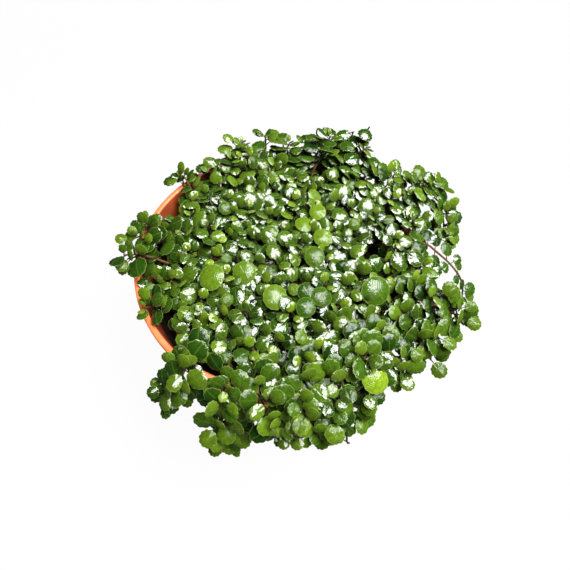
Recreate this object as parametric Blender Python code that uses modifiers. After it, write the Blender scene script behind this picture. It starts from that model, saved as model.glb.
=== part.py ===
"""A creeping pilea grown as a mat of leafy shoots in a round plastic nursery pot.

Metres, +Z up. The origin is the middle of the pot's base, and the side that trails most is -Y.
"""

import math
import random

import bmesh
import bpy
from mathutils import Matrix, Vector
from mathutils.bvhtree import BVHTree

# The pot: a thin turned shell with a band at the lip and a flat, drained base
RIM_RADIUS = 0.060
POT_HEIGHT = 0.082
BASE_RADIUS = 0.0455
SHOULDER_RADIUS = 0.0585
WALL = 0.0012
LIP_WIDTH = 0.0024
LIP_DEPTH = 0.0030
LIP_EASE = 0.0005
FLOOR = 0.0018
BASE_ROUND = 0.0020
DRAIN_HOLES = 8
DRAIN_RADIUS = 0.0034
DRAIN_RING = 0.0340
TURN_STEPS = 48
DRAIN_STEPS = 12

# The potting soil: a plug clear of the wall, a little higher in the middle
SOIL_BELOW_RIM = 0.0125
SOIL_CROWN = 0.0025
SOIL_RINGS = 4
GAP = 0.0003

# One leaf, drawn one long with its root on the stem's axis, then scaled to its real length
LEAF_SIDES = 6
LEAF_THICK = 0.12
PETIOLE = 0.30
ROOT_WIDTH = 0.05
ROOT_REACH = 0.04
KEEP_OUT_RADIUS = 0.56
KEEP_OUT_THICK = 0.27
KEEP_OUT_SHARES = (0, 0.5, 1)

# The stems
STEM_RADIUS = 0.0008
STEM_POINTS = 4
STEM_PROBE = 0.0010
STEM_CLEARANCE = 0.00045
SLEEVE_SIDES = 3

# The mat: shoot tips spread by the golden angle under one domed surface
MAT_SHOOTS = 36
MAT_TIPS = 84
MAT_SEED = 11
TIP_PHASE = 0.37
TIP_JITTER = 0.0016
GOLDEN_ANGLE = math.radians(137.508)
# How far the mat reaches from the pot's axis, every 30 degrees from +X
MAT_REACH = (0.062, 0.062, 0.061, 0.056, 0.052, 0.046, 0.054, 0.051, 0.056, 0.066, 0.067, 0.066)
MAT_CROWN = 0.0095
MAT_EDGE = 0.0040
BACK_RISE = 0.0070
BACK_AZIMUTH = math.radians(70)
# Hollows between the shoots, where the mat shows dark: (x, y, radius)
HOLLOWS = ((0.042, 0.000, 0.0065), (0.018, 0.041, 0.0070), (-0.048, -0.006, 0.0060))
FOOT_REACH = 0.0470
FOOT_LEAN = 0.80
EDGE_FOOT_SHIFT = 0.001
# A stem stands this high before it bends, and it is straight this far below its tip
MAT_KNEE = 0.006
EDGE_KNEE = 0.004
NECK = 0.005
BRANCH_SAG = 0.001
# A stem whose tip is further out than this arches over the lip
OVER_LIP_RADIUS = 0.0530
OVER_LIP_RISE = 0.0030

# Leaf pairs counted back from a mat tip: (distance from the tip, leaf length, lift in degrees)
MAT_PAIRS = ((0.0012, 0.0054, 24), (0.0036, 0.0070, 8))
# Leaf pairs counted back from the tip of a shoot at the edge
EDGE_PAIRS = (
    (0.0010, 0.0052, 30),
    (0.0048, 0.0068, 12),
    (0.0118, 0.0070, 0),
    (0.0190, 0.0066, 0),
    (0.0270, 0.0066, 6),
)
# One leaf of a pair leaves the stem a little below the other
PAIR_OFFSET = 0.0005
# How far leaves and tips lean outwards and to the front for light, and how closely they face along
# a stem that rises, or across one that hangs
LIGHT_LEAN = 0.24
LIGHT_FRONT = -0.20
TIP_TILT = 0.30
MAT_HOLD = 0.75
EDGE_HOLD = 0.60
HANG_TURN = 0.60
# Pairs on a stem that lies more than this point sideways from it, by turns ahead of and behind square
LYING = 0.50
FAN_TURN = math.radians(24)
# No two leaves are alike: degrees of lift, and shares of the length
LIFT_WOBBLE = 8
SIZE_WOBBLE = (0.88, 1.14)
QUARTER = math.radians(90)

# What is tried for room, in order: turns of a pair in degrees, its size, and new routes of a stem
TRY_TURNS = (0, 24, -24, 48, -48, 72)
TRY_SIZES = (1.0, 0.86, 0.74)
TRY_ROUTES = 40
MAT_LOOSE = (0.0015, 0.0002)
EDGE_LOOSE = (0.0, 0.0001)

# Shoots at the edge, chosen one by one: name, leaf scale, then the stem's way points beyond its
# foot as (azimuth in degrees, distance from the axis, height above the rim), in millimetres
EDGE_SHOOTS = (
    ("shoot_left_upper", 1.0, ((168, 46, 2), (172, 53, 6), (177, 58, 7))),
    ("shoot_left_tip", 1.15, ((-173, 46, 1), (-175, 54, 5), (-176, 63, 5))),
    ("shoot_left_rim", 0.95, ((-148, 46, -3), (-150, 53, 3), (-151, 58, 4))),
    ("shoot_upper_left", 1.0, ((140, 47, -4), (139, 54, 4), (138, 58, 6))),
    ("shoot_back_sprig", 0.80, ((114, 49, 2), (111, 53, 7), (107, 56, 12))),
    ("shoot_back", 0.95, ((88, 46, 5), (86, 51, 9), (84, 54, 12))),
    ("shoot_back_tall", 1.0, ((68, 44, 6), (66, 51, 13), (65, 57, 18))),
    ("shoot_back_right", 0.95, ((53, 46, 4), (52, 56, 11), (50, 63, 14))),
    ("shoot_right_back", 0.90, ((37, 47, 3), (36, 58, 8), (34, 66, 6))),
    ("shoot_right_arch", 0.95, ((26, 56, 7), (24, 67, 8), (21, 77, 3), (15, 79, -5), (10, 76, -10))),
    ("shoot_right_hanging", 0.75, ((2, 58, 5), (-1, 67, 2), (-4, 76, -5), (-6, 81, -12), (-7, 83, -19))),
    ("shoot_right_pair", 0.95, ((-25, 56, 4), (-24, 66, 4), (-22, 73, 0), (-22, 78, -5))),
    ("shoot_right_low", 0.95, ((-34, 55, 4), (-35, 64, 3), (-34, 69, -2), (-35, 71, -7))),
    ("shoot_front_right", 0.90, ((-48, 54, 4), (-48, 62, 3), (-46, 67, -3), (-45, 68, -8))),
    ("shoot_front_dark", 1.0, ((-68, 55, 3), (-68, 63, 1), (-67, 66, -8), (-68, 67, -14))),
    ("shoot_big_leaf", 1.25, ((-60, 50, 3), (-60, 57, 6), (-59, 62, 5))),
    ("shoot_front", 1.05, ((-82, 54, 4), (-82, 63, 3), (-80, 69, -6), (-78, 72, -16))),
    ("shoot_front_left", 1.0, ((-97, 53, 3), (-96, 62, 4), (-92, 67, -4), (-87, 69, -12))),
    (
        "shoot_front_trailing",
        1.0,
        ((-109, 52, 3), (-108, 62, 3), (-106, 67, -10), (-105, 71, -23), (-105, 73, -30)),
    ),
    ("shoot_left_trailing", 1.0, ((-123, 52, 2), (-122, 61, 4), (-123, 67, -5), (-125, 72, -10))),
)

LEAF_GREENS = ((0.055, 0.160, 0.025, 1), (0.085, 0.215, 0.030, 1), (0.130, 0.270, 0.045, 1))
POT_COLOUR = (0.720, 0.170, 0.055, 1)
SOIL_COLOUR = (0.012, 0.008, 0.006, 1)


def collection(name):
    made = bpy.data.collections.new(name)
    bpy.context.scene.collection.children.link(made)
    return made


def finish_material(name, colour, roughness):
    made = bpy.data.materials.new(name)
    made.use_nodes = True
    shader = made.node_tree.nodes["Principled BSDF"]
    shader.inputs["Base Color"].default_value = colour
    shader.inputs["Roughness"].default_value = roughness
    shader.inputs["Metallic"].default_value = 0.0
    return made


def add_object(name, mesh, home, material=None):
    made = bpy.data.objects.new(name, mesh)
    home.objects.link(made)
    if material:
        mesh.materials.append(material)
    return made


def turned(name, profile, home, material):
    """A profile of (radius, height) points turned about Z. It runs down its outer side."""
    mesh = bpy.data.meshes.new(name)
    points = [(radius, 0, height) for radius, height in profile]
    mesh.from_pydata(points, [(i, i + 1) for i in range(len(points) - 1)], [])
    made = add_object(name, mesh, home, material)
    screw = made.modifiers.new("Turn", "SCREW")
    screw.steps = TURN_STEPS
    screw.render_steps = TURN_STEPS
    screw.use_merge_vertices = True
    screw.merge_threshold = 0.00001
    screw.use_smooth_shade = True
    return made


def wall_radius(height):
    """The outer radius of the pot's tapered wall, below the lip."""
    return BASE_RADIUS + (SHOULDER_RADIUS - BASE_RADIUS) * height / POT_HEIGHT


def soil_height(radius):
    edge = POT_HEIGHT - SOIL_BELOW_RIM
    return edge + SOIL_CROWN * (1 - (radius / wall_radius(edge)) ** 2)


def make_pot(home, cutters, material):
    lip_foot = POT_HEIGHT - LIP_DEPTH
    lip_inside = RIM_RADIUS - LIP_WIDTH
    profile = [
        (0, FLOOR),
        (wall_radius(FLOOR) - WALL, FLOOR),
        (wall_radius(lip_foot) - WALL, lip_foot),
        (lip_inside, POT_HEIGHT - LIP_EASE),
        (lip_inside + LIP_EASE, POT_HEIGHT),
        (RIM_RADIUS - LIP_EASE, POT_HEIGHT),
        (RIM_RADIUS, POT_HEIGHT - LIP_EASE),
        (RIM_RADIUS, lip_foot),
        (wall_radius(lip_foot), lip_foot - LIP_EASE),
        (wall_radius(BASE_ROUND), BASE_ROUND),
        (BASE_RADIUS - BASE_ROUND, 0),
        (0, 0),
    ]
    pot = turned("pot", profile, home, material)
    holes = bmesh.new()
    for number in range(DRAIN_HOLES):
        turn = Matrix.Rotation(math.tau * number / DRAIN_HOLES, 4, "Z")
        bmesh.ops.create_cone(
            holes,
            cap_ends=True,
            segments=DRAIN_STEPS,
            radius1=DRAIN_RADIUS,
            radius2=DRAIN_RADIUS,
            depth=4 * FLOOR,
            matrix=turn @ Matrix.Translation((DRAIN_RING, 0, 0)),
        )
    cutter_mesh = bpy.data.meshes.new("drain_cutter")
    holes.to_mesh(cutter_mesh)
    holes.free()
    cutter = add_object("drain_cutter", cutter_mesh, cutters)
    cutter.hide_render = True
    cutter.display_type = "WIRE"
    cut = pot.modifiers.new("Drain holes", "BOOLEAN")
    cut.operation = "DIFFERENCE"
    cut.solver = "EXACT"
    cut.object = cutter


def make_soil(home, material):
    edge = POT_HEIGHT - SOIL_BELOW_RIM
    bottom = FLOOR + GAP
    top_radius = wall_radius(edge) - WALL - GAP
    radii = [top_radius * ring / SOIL_RINGS for ring in range(SOIL_RINGS + 1)]
    profile = [(radius, soil_height(radius)) for radius in radii]
    profile += [(wall_radius(bottom) - WALL - GAP, bottom), (0, bottom)]
    turned("potting_soil", profile, home, material)


def clear_of_pot(point, gap):
    radius = math.hypot(point.x, point.y)
    if point.z > POT_HEIGHT + gap:
        return True
    at_lip = point.z > POT_HEIGHT - LIP_DEPTH - gap
    outside = RIM_RADIUS if at_lip else wall_radius(point.z)
    if radius > outside + gap:
        return True
    inside = RIM_RADIUS - LIP_WIDTH if at_lip else wall_radius(point.z) - WALL
    return radius < inside - gap and point.z > soil_height(radius) + gap


def unit_leaf(radius, thickness, cone):
    """A flat leaf one long: a low cone, or a slab of the same outline, with two corners at the stem."""
    shape = bmesh.new()
    bmesh.ops.create_cone(
        shape,
        cap_ends=True,
        segments=LEAF_SIDES,
        radius1=radius,
        radius2=0 if cone else radius,
        depth=thickness,
        matrix=Matrix.Translation((PETIOLE + 0.5, 0, 0)) @ Matrix.Rotation(-QUARTER, 4, "Z"),
    )
    bmesh.ops.remove_doubles(shape, verts=shape.verts, dist=0.0001)
    nearest = min(vert.co.x for vert in shape.verts)
    for vert in shape.verts:
        if vert.co.x < nearest + 0.001:
            vert.co.x = -ROOT_REACH
            vert.co.y = math.copysign(ROOT_WIDTH, vert.co.y)
    points = [vert.co.copy() for vert in shape.verts]
    faces = [tuple(vert.index for vert in face.verts) for face in shape.faces]
    shape.free()
    return points, faces


def stem_sleeve(route):
    """A sleeve of few sides round a stem's route, which the shoots after it keep clear of."""
    points = []
    faces = []
    for number, point in enumerate(route):
        ahead = route[min(number + 1, len(route) - 1)] - route[max(number - 1, 0)]
        across = ahead.orthogonal().normalized() * STEM_RADIUS
        for corner in range(SLEEVE_SIDES):
            turn = Matrix.Rotation(math.tau * corner / SLEEVE_SIDES, 3, ahead.normalized())
            points.append(point + turn @ across)
        if number:
            for corner in range(SLEEVE_SIDES):
                a = SLEEVE_SIDES * (number - 1) + corner
                b = SLEEVE_SIDES * (number - 1) + (corner + 1) % SLEEVE_SIDES
                faces.append((a, b, b + SLEEVE_SIDES, a + SLEEVE_SIDES))
    return points, faces


class Foliage:
    """All the shoots so far, with what a new leaf or stem has to stay clear of."""

    def __init__(self):
        self.leaf = unit_leaf(0.5, LEAF_THICK, True)
        self.keep_out = unit_leaf(KEEP_OUT_RADIUS, KEEP_OUT_THICK, False)
        middle = Vector((PETIOLE + 0.5, 0, 0))
        self.probes = [point.lerp(middle, share) for point in self.keep_out[0] for share in KEEP_OUT_SHARES]
        self.points = []
        self.faces = []
        self.tree = None

    def add(self, points, faces):
        start = len(self.points)
        self.points += points
        self.faces += [tuple(start + corner for corner in face) for face in faces]

    def take(self, routes, leaves):
        """Keeps a grown shoot's leaves and stems, for the shoots after it to clear."""
        for place in leaves:
            self.add([place @ point for point in self.leaf[0]], self.leaf[1])
        for route in routes:
            self.add(*stem_sleeve(route))
        self.tree = BVHTree.FromPolygons(self.points, self.faces)

    def leaf_is_clear(self, place, own):
        points = [place @ point for point in self.keep_out[0]]
        if not all(clear_of_pot(place @ probe, GAP) for probe in self.probes):
            return False
        slab = BVHTree.FromPolygons(points, self.keep_out[1])
        if self.tree and slab.overlap(self.tree):
            return False
        return not any(slab.overlap(other) for other in own)

    def stem_is_clear(self, route):
        reach = STEM_RADIUS + STEM_CLEARANCE
        for start, end in zip(route, route[1:]):
            steps = max(1, round((end - start).length / STEM_PROBE))
            for step in range(steps + 1):
                point = start.lerp(end, step / steps)
                in_ground = point.z < soil_height(0) + 2 * STEM_RADIUS
                if not in_ground and not clear_of_pot(point, reach):
                    return False
                if self.tree and self.tree.find_nearest(point, reach + GAP)[0]:
                    return False
        return True


def polar(azimuth, radius, height):
    return Vector((radius * math.cos(azimuth), radius * math.sin(azimuth), height))


def smooth_route(way, count):
    """Points along a Catmull-Rom curve through the way points, from first to last."""
    padded = [2 * way[0] - way[1], *way, 2 * way[-1] - way[-2]]
    spans = len(way) - 1
    route = []
    for number in range(count):
        place = number / (count - 1) * spans
        span = min(int(place), spans - 1)
        t = place - span
        a, b, c, d = padded[span : span + 4]
        bend = (2 * a - 5 * b + 4 * c - d) * t**2 + (3 * b - a - 3 * c + d) * t**3
        route.append(0.5 * (2 * b + (c - a) * t + bend))
    return route


def seated(route):
    """The route with its foot raised, so that a leaning stem's cut end keeps clear of the soil."""
    first = (route[1] - route[0]).normalized()
    lean = math.hypot(first.x, first.y)
    return [route[0] + Vector((0, 0, STEM_RADIUS * lean)), *route[1:]]


def along_route(route, back):
    """The point that lies back from the route's end, and the direction towards the end there."""
    for start, end in zip(route[-2::-1], route[::-1]):
        length = (end - start).length
        if back <= length:
            return end.lerp(start, back / length), (end - start).normalized()
        back -= length
    return None, None


def leaf_place(root, side, facing, lift, length):
    """The matrix that carries the unit leaf to a stem: X along it, Z out of its upper face."""
    along = (math.cos(lift) * side + math.sin(lift) * facing).normalized()
    normal = (math.cos(lift) * facing - math.sin(lift) * side).normalized()
    turn = Matrix((along, normal.cross(along), normal)).transposed().to_4x4()
    return Matrix.Translation(root) @ turn @ Matrix.Scale(length, 4)


def leaf_wobble(rng):
    return math.radians(rng.uniform(-LIFT_WOBBLE, LIFT_WOBBLE)), rng.uniform(*SIZE_WOBBLE)


def nudge(loose, rng):
    return Vector([rng.uniform(-loose, loose) for _ in range(3)])


def grow_pair(foliage, own, roots, facing, across, lift, length, wobble):
    """Both leaves of a pair, turned or shrunk until they clear the rest, or one, or none."""
    best = []
    for size in TRY_SIZES:
        for turn in TRY_TURNS:
            side = Matrix.Rotation(math.radians(turn), 3, facing) @ across
            pair = []
            for sign, root, (more_lift, more_length) in zip((1, -1), roots, wobble):
                place = leaf_place(root, sign * side, facing, lift + more_lift, length * size * more_length)
                if foliage.leaf_is_clear(place, own):
                    pair.append(place)
            if len(pair) == 2:
                return pair
            if len(pair) > len(best):
                best = pair
    return best


def to_light(point):
    """The way that leaves and tips lean: up, outwards, and a little to the front, where the light is."""
    outward = Vector((point.x, point.y, 0)) / RIM_RADIUS
    return Vector((0, LIGHT_FRONT, 1)) + LIGHT_LEAN * outward


def facing_of(root, heading, hold):
    """Where a leaf looks: to the light, nearer its stem where that rises, across it where it hangs."""
    light = to_light(root).normalized()
    rise = heading.dot(light)
    if rise > 0:
        return light.lerp(heading, hold * rise).normalized()
    return (light - HANG_TURN * rise * heading).normalized()


def across_of(facing, heading, turn, number):
    """The line of a pair: sideways from a lying stem, or else each pair crossing the last."""
    sideways = facing.cross(heading)
    if sideways.length > LYING:
        fan = FAN_TURN if number % 2 else -FAN_TURN
        return Matrix.Rotation(fan, 3, facing) @ sideways.normalized()
    across = facing.cross(Vector((math.cos(turn), math.sin(turn), 0))).normalized()
    return Matrix.Rotation(QUARTER * (number % 2), 3, facing) @ across


def grow_branch(foliage, own, route, pairs, scale, hold, rng):
    """Leaf pairs along one branch, each crossing the last. hold is how far they follow the stem."""
    turn = rng.uniform(0, math.pi)
    leaves = []
    for number, (back, length, lift) in enumerate(pairs):
        wobble = [leaf_wobble(rng) for _ in range(2)]
        root, heading = along_route(route, back * scale)
        if root is None:
            break
        facing = facing_of(root, heading, hold)
        across = across_of(facing, heading, turn, number)
        roots = (root, root - PAIR_OFFSET * heading)
        pair = grow_pair(foliage, own, roots, facing, across, math.radians(lift), length * scale, wobble)
        for place in pair:
            own.append(BVHTree.FromPolygons([place @ point for point in foliage.leaf[0]], foliage.leaf[1]))
        leaves += pair
    return leaves


def mat_reach(azimuth):
    step = math.degrees(azimuth) % 360 / 30
    low = int(step) % 12
    return MAT_REACH[low] + (MAT_REACH[(low + 1) % 12] - MAT_REACH[low]) * (step - int(step))


def mat_point(share, number, rng):
    """One place in the mat, from the middle at share 0 to the edge at share 1."""
    azimuth = number * GOLDEN_ANGLE
    spread = math.sqrt(share)
    radius = spread * mat_reach(azimuth)
    rise = MAT_CROWN + (MAT_EDGE - MAT_CROWN) * spread**2
    rise += BACK_RISE * max(0.0, math.cos(azimuth - BACK_AZIMUTH)) * spread**2
    point = polar(azimuth, radius, POT_HEIGHT + rise)
    return point + nudge(TIP_JITTER, rng)


def in_hollow(point):
    return any(math.hypot(point.x - x, point.y - y) < radius for x, y, radius in HOLLOWS)


def mat_groups():
    """The tips of each mat shoot: every tip belongs to the shoot centre nearest to it."""
    rng = random.Random(MAT_SEED)
    centres = [mat_point((n + 0.5) / MAT_SHOOTS, n, rng) for n in range(MAT_SHOOTS)]
    groups = [[] for _ in centres]
    for number in range(MAT_TIPS):
        tip = mat_point((number + 0.5) / MAT_TIPS, number + TIP_PHASE, rng)
        if in_hollow(tip):
            continue
        nearest = min(range(MAT_SHOOTS), key=lambda n: (centres[n] - tip).length)
        groups[nearest].append(tip)
    return [group for group in groups if group]


def shoot_foot(point, loose, rng):
    """Where a shoot leaves the soil, nearer to the pot's axis than its tips."""
    lean = Vector((point.x, point.y)) * FOOT_LEAN
    lean += Vector((rng.uniform(-loose, loose), rng.uniform(-loose, loose)))
    if lean.length > FOOT_REACH:
        lean = lean * (FOOT_REACH / lean.length)
    return Vector((lean.x, lean.y, soil_height(lean.length) + GAP))


def mat_way(start, tip, heading, rises):
    """Way points of a stem to a mat tip. One that rises from the soil clears the lip first."""
    neck = tip - NECK * heading
    if not rises:
        return [start, start.lerp(neck, 0.5) - Vector((0, 0, BRANCH_SAG)), neck, tip]
    knee = start + Vector((0, 0, MAT_KNEE))
    if math.hypot(tip.x, tip.y) < OVER_LIP_RADIUS:
        return [start, knee, neck, tip]
    azimuth = math.atan2(tip.y, tip.x)
    over = polar(azimuth, RIM_RADIUS - LIP_WIDTH, POT_HEIGHT + OVER_LIP_RISE)
    return [start, knee, over, tip]


def grow_mat_shoot(foliage, tips, rng):
    """Stem routes and leaves of one shoot of the mat: a main stem, and a branch for each other tip."""
    middle = sum(tips, Vector()) / len(tips)
    tips = sorted(tips, key=lambda tip: (tip - middle).length)
    routes = []
    leaves = []
    own = []
    for tip in tips:
        for attempt in range(TRY_ROUTES):
            loose = MAT_LOOSE[0] + MAT_LOOSE[1] * attempt
            end = tip + nudge(loose, rng)
            tilt = Vector((rng.uniform(-TIP_TILT, TIP_TILT), rng.uniform(-TIP_TILT, TIP_TILT), 0))
            heading = (to_light(tip) + tilt).normalized()
            start = routes[0][1] if routes else shoot_foot(middle, loose, rng)
            route = smooth_route(mat_way(start, end, heading, not routes), STEM_POINTS)
            route = route if routes else seated(route)
            if foliage.stem_is_clear(route):
                grown = grow_branch(foliage, own, route, MAT_PAIRS, 1.0, MAT_HOLD, rng)
                if len(grown) >= 2:
                    routes.append(route)
                    leaves += grown
                    break
    return routes, leaves


def grow_edge_shoot(foliage, way_points, scale, rng):
    """Stem route and leaves of a shoot at the edge, along its chosen way points."""
    way = [polar(math.radians(a), r / 1000, POT_HEIGHT + h / 1000) for a, r, h in way_points]
    for attempt in range(TRY_ROUTES):
        loose = EDGE_LOOSE[0] + EDGE_LOOSE[1] * attempt
        shift = nudge(loose, rng)
        foot = shoot_foot(way[0], EDGE_FOOT_SHIFT + loose, rng)
        knee = foot + Vector((0, 0, EDGE_KNEE))
        route = seated(smooth_route([foot, knee, *[point + shift for point in way]], 2 * len(way) + 1))
        if foliage.stem_is_clear(route):
            return [route], grow_branch(foliage, [], route, EDGE_PAIRS, scale, EDGE_HOLD, rng)
    return [], []


def grow_all():
    """Every shoot as (name, stem routes, leaf matrices), none touching another.

    The shoots at the edge grow first. A shoot of the mat that then finds no room is left out.
    """
    foliage = Foliage()
    shoots = []
    for name, scale, way_points in EDGE_SHOOTS:
        routes, leaves = grow_edge_shoot(foliage, way_points, scale, random.Random(name))
        foliage.take(routes, leaves)
        shoots.append((name, routes, leaves))
    for number, tips in enumerate(mat_groups()):
        routes, leaves = grow_mat_shoot(foliage, tips, random.Random(number))
        if routes:
            foliage.take(routes, leaves)
            shoots.append((f"mat_shoot_{len(shoots) - len(EDGE_SHOOTS) + 1:02d}", routes, leaves))
    return foliage, shoots


def stem_curve(name, route, home):
    curve = bpy.data.curves.new(name, "CURVE")
    curve.dimensions = "3D"
    curve.bevel_depth = STEM_RADIUS
    curve.bevel_resolution = 0
    curve.use_fill_caps = True
    spline = curve.splines.new("POLY")
    spline.points.add(len(route) - 1)
    for point, place in zip(spline.points, route):
        point.co = (*place, 1)
    made = bpy.data.objects.new(name, curve)
    home.objects.link(made)
    return made


def welded_mesh(curve_object):
    """The mesh of a stem's curve with its caps welded. The curve itself is removed."""
    depsgraph = bpy.context.evaluated_depsgraph_get()
    mesh = bpy.data.meshes.new_from_object(curve_object.evaluated_get(depsgraph))
    shape = bmesh.new()
    shape.from_mesh(mesh)
    bmesh.ops.remove_doubles(shape, verts=shape.verts, dist=0.00001)
    shape.to_mesh(mesh)
    shape.free()
    bpy.data.objects.remove(curve_object)
    return mesh


def make_shoots(home, cutters, materials):
    foliage, shoots = grow_all()
    curves = [[stem_curve(name, route, home) for route in routes] for name, routes, _ in shoots]
    bpy.context.view_layer.update()
    for number, (name, _, leaves) in enumerate(shoots):
        stems = [welded_mesh(curve) for curve in curves[number]]
        shoot = add_object(name, stems[0], home, materials[number % len(materials)])
        joined = bmesh.new()
        for stem in stems[1:]:
            joined.from_mesh(stem)
        for place in leaves:
            corners = [joined.verts.new(place @ point) for point in foliage.leaf[0]]
            for face in foliage.leaf[1]:
                joined.faces.new([corners[corner] for corner in face])
        mesh = bpy.data.meshes.new(name + "_leaves")
        joined.to_mesh(mesh)
        joined.free()
        cutter = add_object(name + "_leaves", mesh, cutters)
        cutter.hide_render = True
        cutter.display_type = "WIRE"
        join = shoot.modifiers.new("Leaves", "BOOLEAN")
        join.operation = "UNION"
        join.solver = "EXACT"
        join.use_self = True
        join.object = cutter


def main():
    for old in list(bpy.data.objects):
        bpy.data.objects.remove(old)
    home = collection("Potted pilea")
    cutters = collection("Cutters")
    make_pot(home, cutters, finish_material("pot_plastic", POT_COLOUR, 0.38))
    make_soil(home, finish_material("peat_soil", SOIL_COLOUR, 0.95))
    greens = [finish_material(f"leaf_{n + 1}", colour, 0.30) for n, colour in enumerate(LEAF_GREENS)]
    make_shoots(home, cutters, greens)


main()
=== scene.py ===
import math
import random

import bmesh
import bpy
from mathutils import Matrix, Vector
from mathutils.bvhtree import BVHTree


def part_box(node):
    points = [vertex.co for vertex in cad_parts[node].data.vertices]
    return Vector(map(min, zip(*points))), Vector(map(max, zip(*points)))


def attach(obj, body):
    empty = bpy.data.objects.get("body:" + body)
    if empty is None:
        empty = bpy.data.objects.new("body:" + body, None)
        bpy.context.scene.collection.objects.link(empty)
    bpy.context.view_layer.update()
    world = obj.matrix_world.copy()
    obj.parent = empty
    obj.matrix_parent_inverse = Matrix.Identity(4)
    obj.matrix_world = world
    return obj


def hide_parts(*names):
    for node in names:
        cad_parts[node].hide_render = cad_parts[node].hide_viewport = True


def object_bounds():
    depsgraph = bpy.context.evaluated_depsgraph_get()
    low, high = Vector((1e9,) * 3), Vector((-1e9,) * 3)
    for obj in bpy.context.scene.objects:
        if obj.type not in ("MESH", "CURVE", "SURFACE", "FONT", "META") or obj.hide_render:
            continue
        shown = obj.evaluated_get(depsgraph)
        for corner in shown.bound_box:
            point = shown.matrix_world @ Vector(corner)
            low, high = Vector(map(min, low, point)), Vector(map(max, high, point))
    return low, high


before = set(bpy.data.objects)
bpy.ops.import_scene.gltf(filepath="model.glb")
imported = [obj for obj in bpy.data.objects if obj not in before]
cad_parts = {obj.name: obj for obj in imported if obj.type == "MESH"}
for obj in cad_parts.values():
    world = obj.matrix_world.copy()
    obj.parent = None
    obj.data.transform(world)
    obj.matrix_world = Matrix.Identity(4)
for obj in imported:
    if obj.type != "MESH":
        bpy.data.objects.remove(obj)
cad_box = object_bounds()

# The nursery pot: one thin shell of terracotta-coloured plastic, moulded in one shot, with a flat
# base, round drain holes, a tapered wall and a stiff band at the lip that the shoots hang over.
pot_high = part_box("pot")[1]
RIM_RADIUS = round(pot_high.x, 4)
POT_HEIGHT = round(pot_high.z, 4)
BASE_RADIUS = 0.0455
SHOULDER_RADIUS = 0.0585
WALL = 0.0012
LIP_WIDTH = 0.0024
LIP_DEPTH = 0.0030
LIP_EASE = 0.0005
FLOOR = 0.0018
BASE_ROUND = 0.0020
BASE_RECESS = 0.0006
FOOT_RING = 0.0045
DRAIN_HOLES = 8
DRAIN_RADIUS = 0.0034
DRAIN_RING = 0.0340
POT_SIDES = 120
DRAIN_SIDES = 28
PUNCH_DEPTH = 4 * FLOOR
MOULD_EDGE = 0.00018
MOULD_ANGLE = math.radians(25)
MOULD_SEGMENTS = 2
POT_SMOOTH = math.radians(32)
BASE_STEPS = 4
BASE_FLARE = 0.0003
TINY = 0.00001
# A Mix node's two colours and its mixed colour, whose names other sockets of the node share
MIX_COLOURS = (6, 7)
MIX_RESULT = 2


def wall_radius(height):
    """The outer radius of the pot's tapered wall, below the lip."""
    return BASE_RADIUS + (SHOULDER_RADIUS - BASE_RADIUS) * height / POT_HEIGHT


def polar(azimuth, radius, height):
    """A point by its turn from +X, its distance from the pot's axis and its height."""
    return Vector((radius * math.cos(azimuth), radius * math.sin(azimuth), height))


def take_up(piece):
    """Makes one piece the only one selected, and the active one."""
    bpy.ops.object.select_all(action="DESELECT")
    piece.select_set(True)
    bpy.context.view_layer.objects.active = piece


def pick(piece, wanted):
    """In edit mode, selects the vertices that pass the test, and nothing else."""
    bpy.ops.mesh.select_mode(type="VERT")
    bpy.ops.mesh.select_all(action="DESELECT")
    mesh = bmesh.from_edit_mesh(piece.data)
    for vert in mesh.verts:
        vert.select = wanted(vert.co)
    mesh.select_flush_mode()
    bmesh.update_edit_mesh(piece.data)


def apply_modifiers(piece):
    """Applies all of a piece's modifiers, in their order."""
    take_up(piece)
    for modifier in list(piece.modifiers):
        bpy.ops.object.modifier_apply(modifier=modifier.name)


def grow_ring(start, end):
    """Extrudes the selected ring from one (radius, height) to the next."""
    share = end[0] / start[0]
    bpy.ops.mesh.extrude_edges_move(TRANSFORM_OT_translate={"value": (0, 0, end[1] - start[1])})
    bpy.ops.transform.resize(value=(share, share, 1), center_override=(0, 0, end[1]))


def node_material(name, roughness):
    """A new node material, with its node tree and its main shader."""
    made = bpy.data.materials.new(name)
    made.use_nodes = True
    shader = made.node_tree.nodes["Principled BSDF"]
    shader.inputs["Roughness"].default_value = roughness
    return made, made.node_tree, shader


def add_node(tree, kind, **settings):
    """A node of one kind. Settings name its properties, or its inputs where it has no such property."""
    node = tree.nodes.new(kind)
    for name, value in settings.items():
        if hasattr(node, name):
            setattr(node, name, value)
        else:
            node.inputs[name.replace("_", " ")].default_value = value
    return node


def grain(tree, scale, detail=3.0, roughness=0.55):
    """Noise fixed to the piece, with so many bumps to the metre."""
    place = add_node(tree, "ShaderNodeTexCoord")
    noise = add_node(tree, "ShaderNodeTexNoise", Scale=scale, Detail=detail, Roughness=roughness)
    tree.links.new(place.outputs["Object"], noise.inputs["Vector"])
    return noise.outputs["Fac"]


def ramp(tree, value, *stops):
    """Colours spread over a value from 0 to 1, as (position, colour) stops."""
    node = add_node(tree, "ShaderNodeValToRGB")
    while len(node.color_ramp.elements) < len(stops):
        node.color_ramp.elements.new(0.5)
    for element, (position, colour) in zip(node.color_ramp.elements, stops):
        element.position = position
        element.color = (*colour, 1)
    tree.links.new(value, node.inputs["Fac"])
    return node.outputs["Color"]


def level(tree, value, low, high, start=0.0, end=1.0):
    """Brings a value from the range start to end into the range low to high, and keeps it there."""
    node = add_node(tree, "ShaderNodeMapRange")
    for socket, number in zip(("From Min", "From Max", "To Min", "To Max"), (start, end, low, high)):
        node.inputs[socket].default_value = number
    tree.links.new(value, node.inputs["Value"])
    return node.outputs["Result"]


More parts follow.
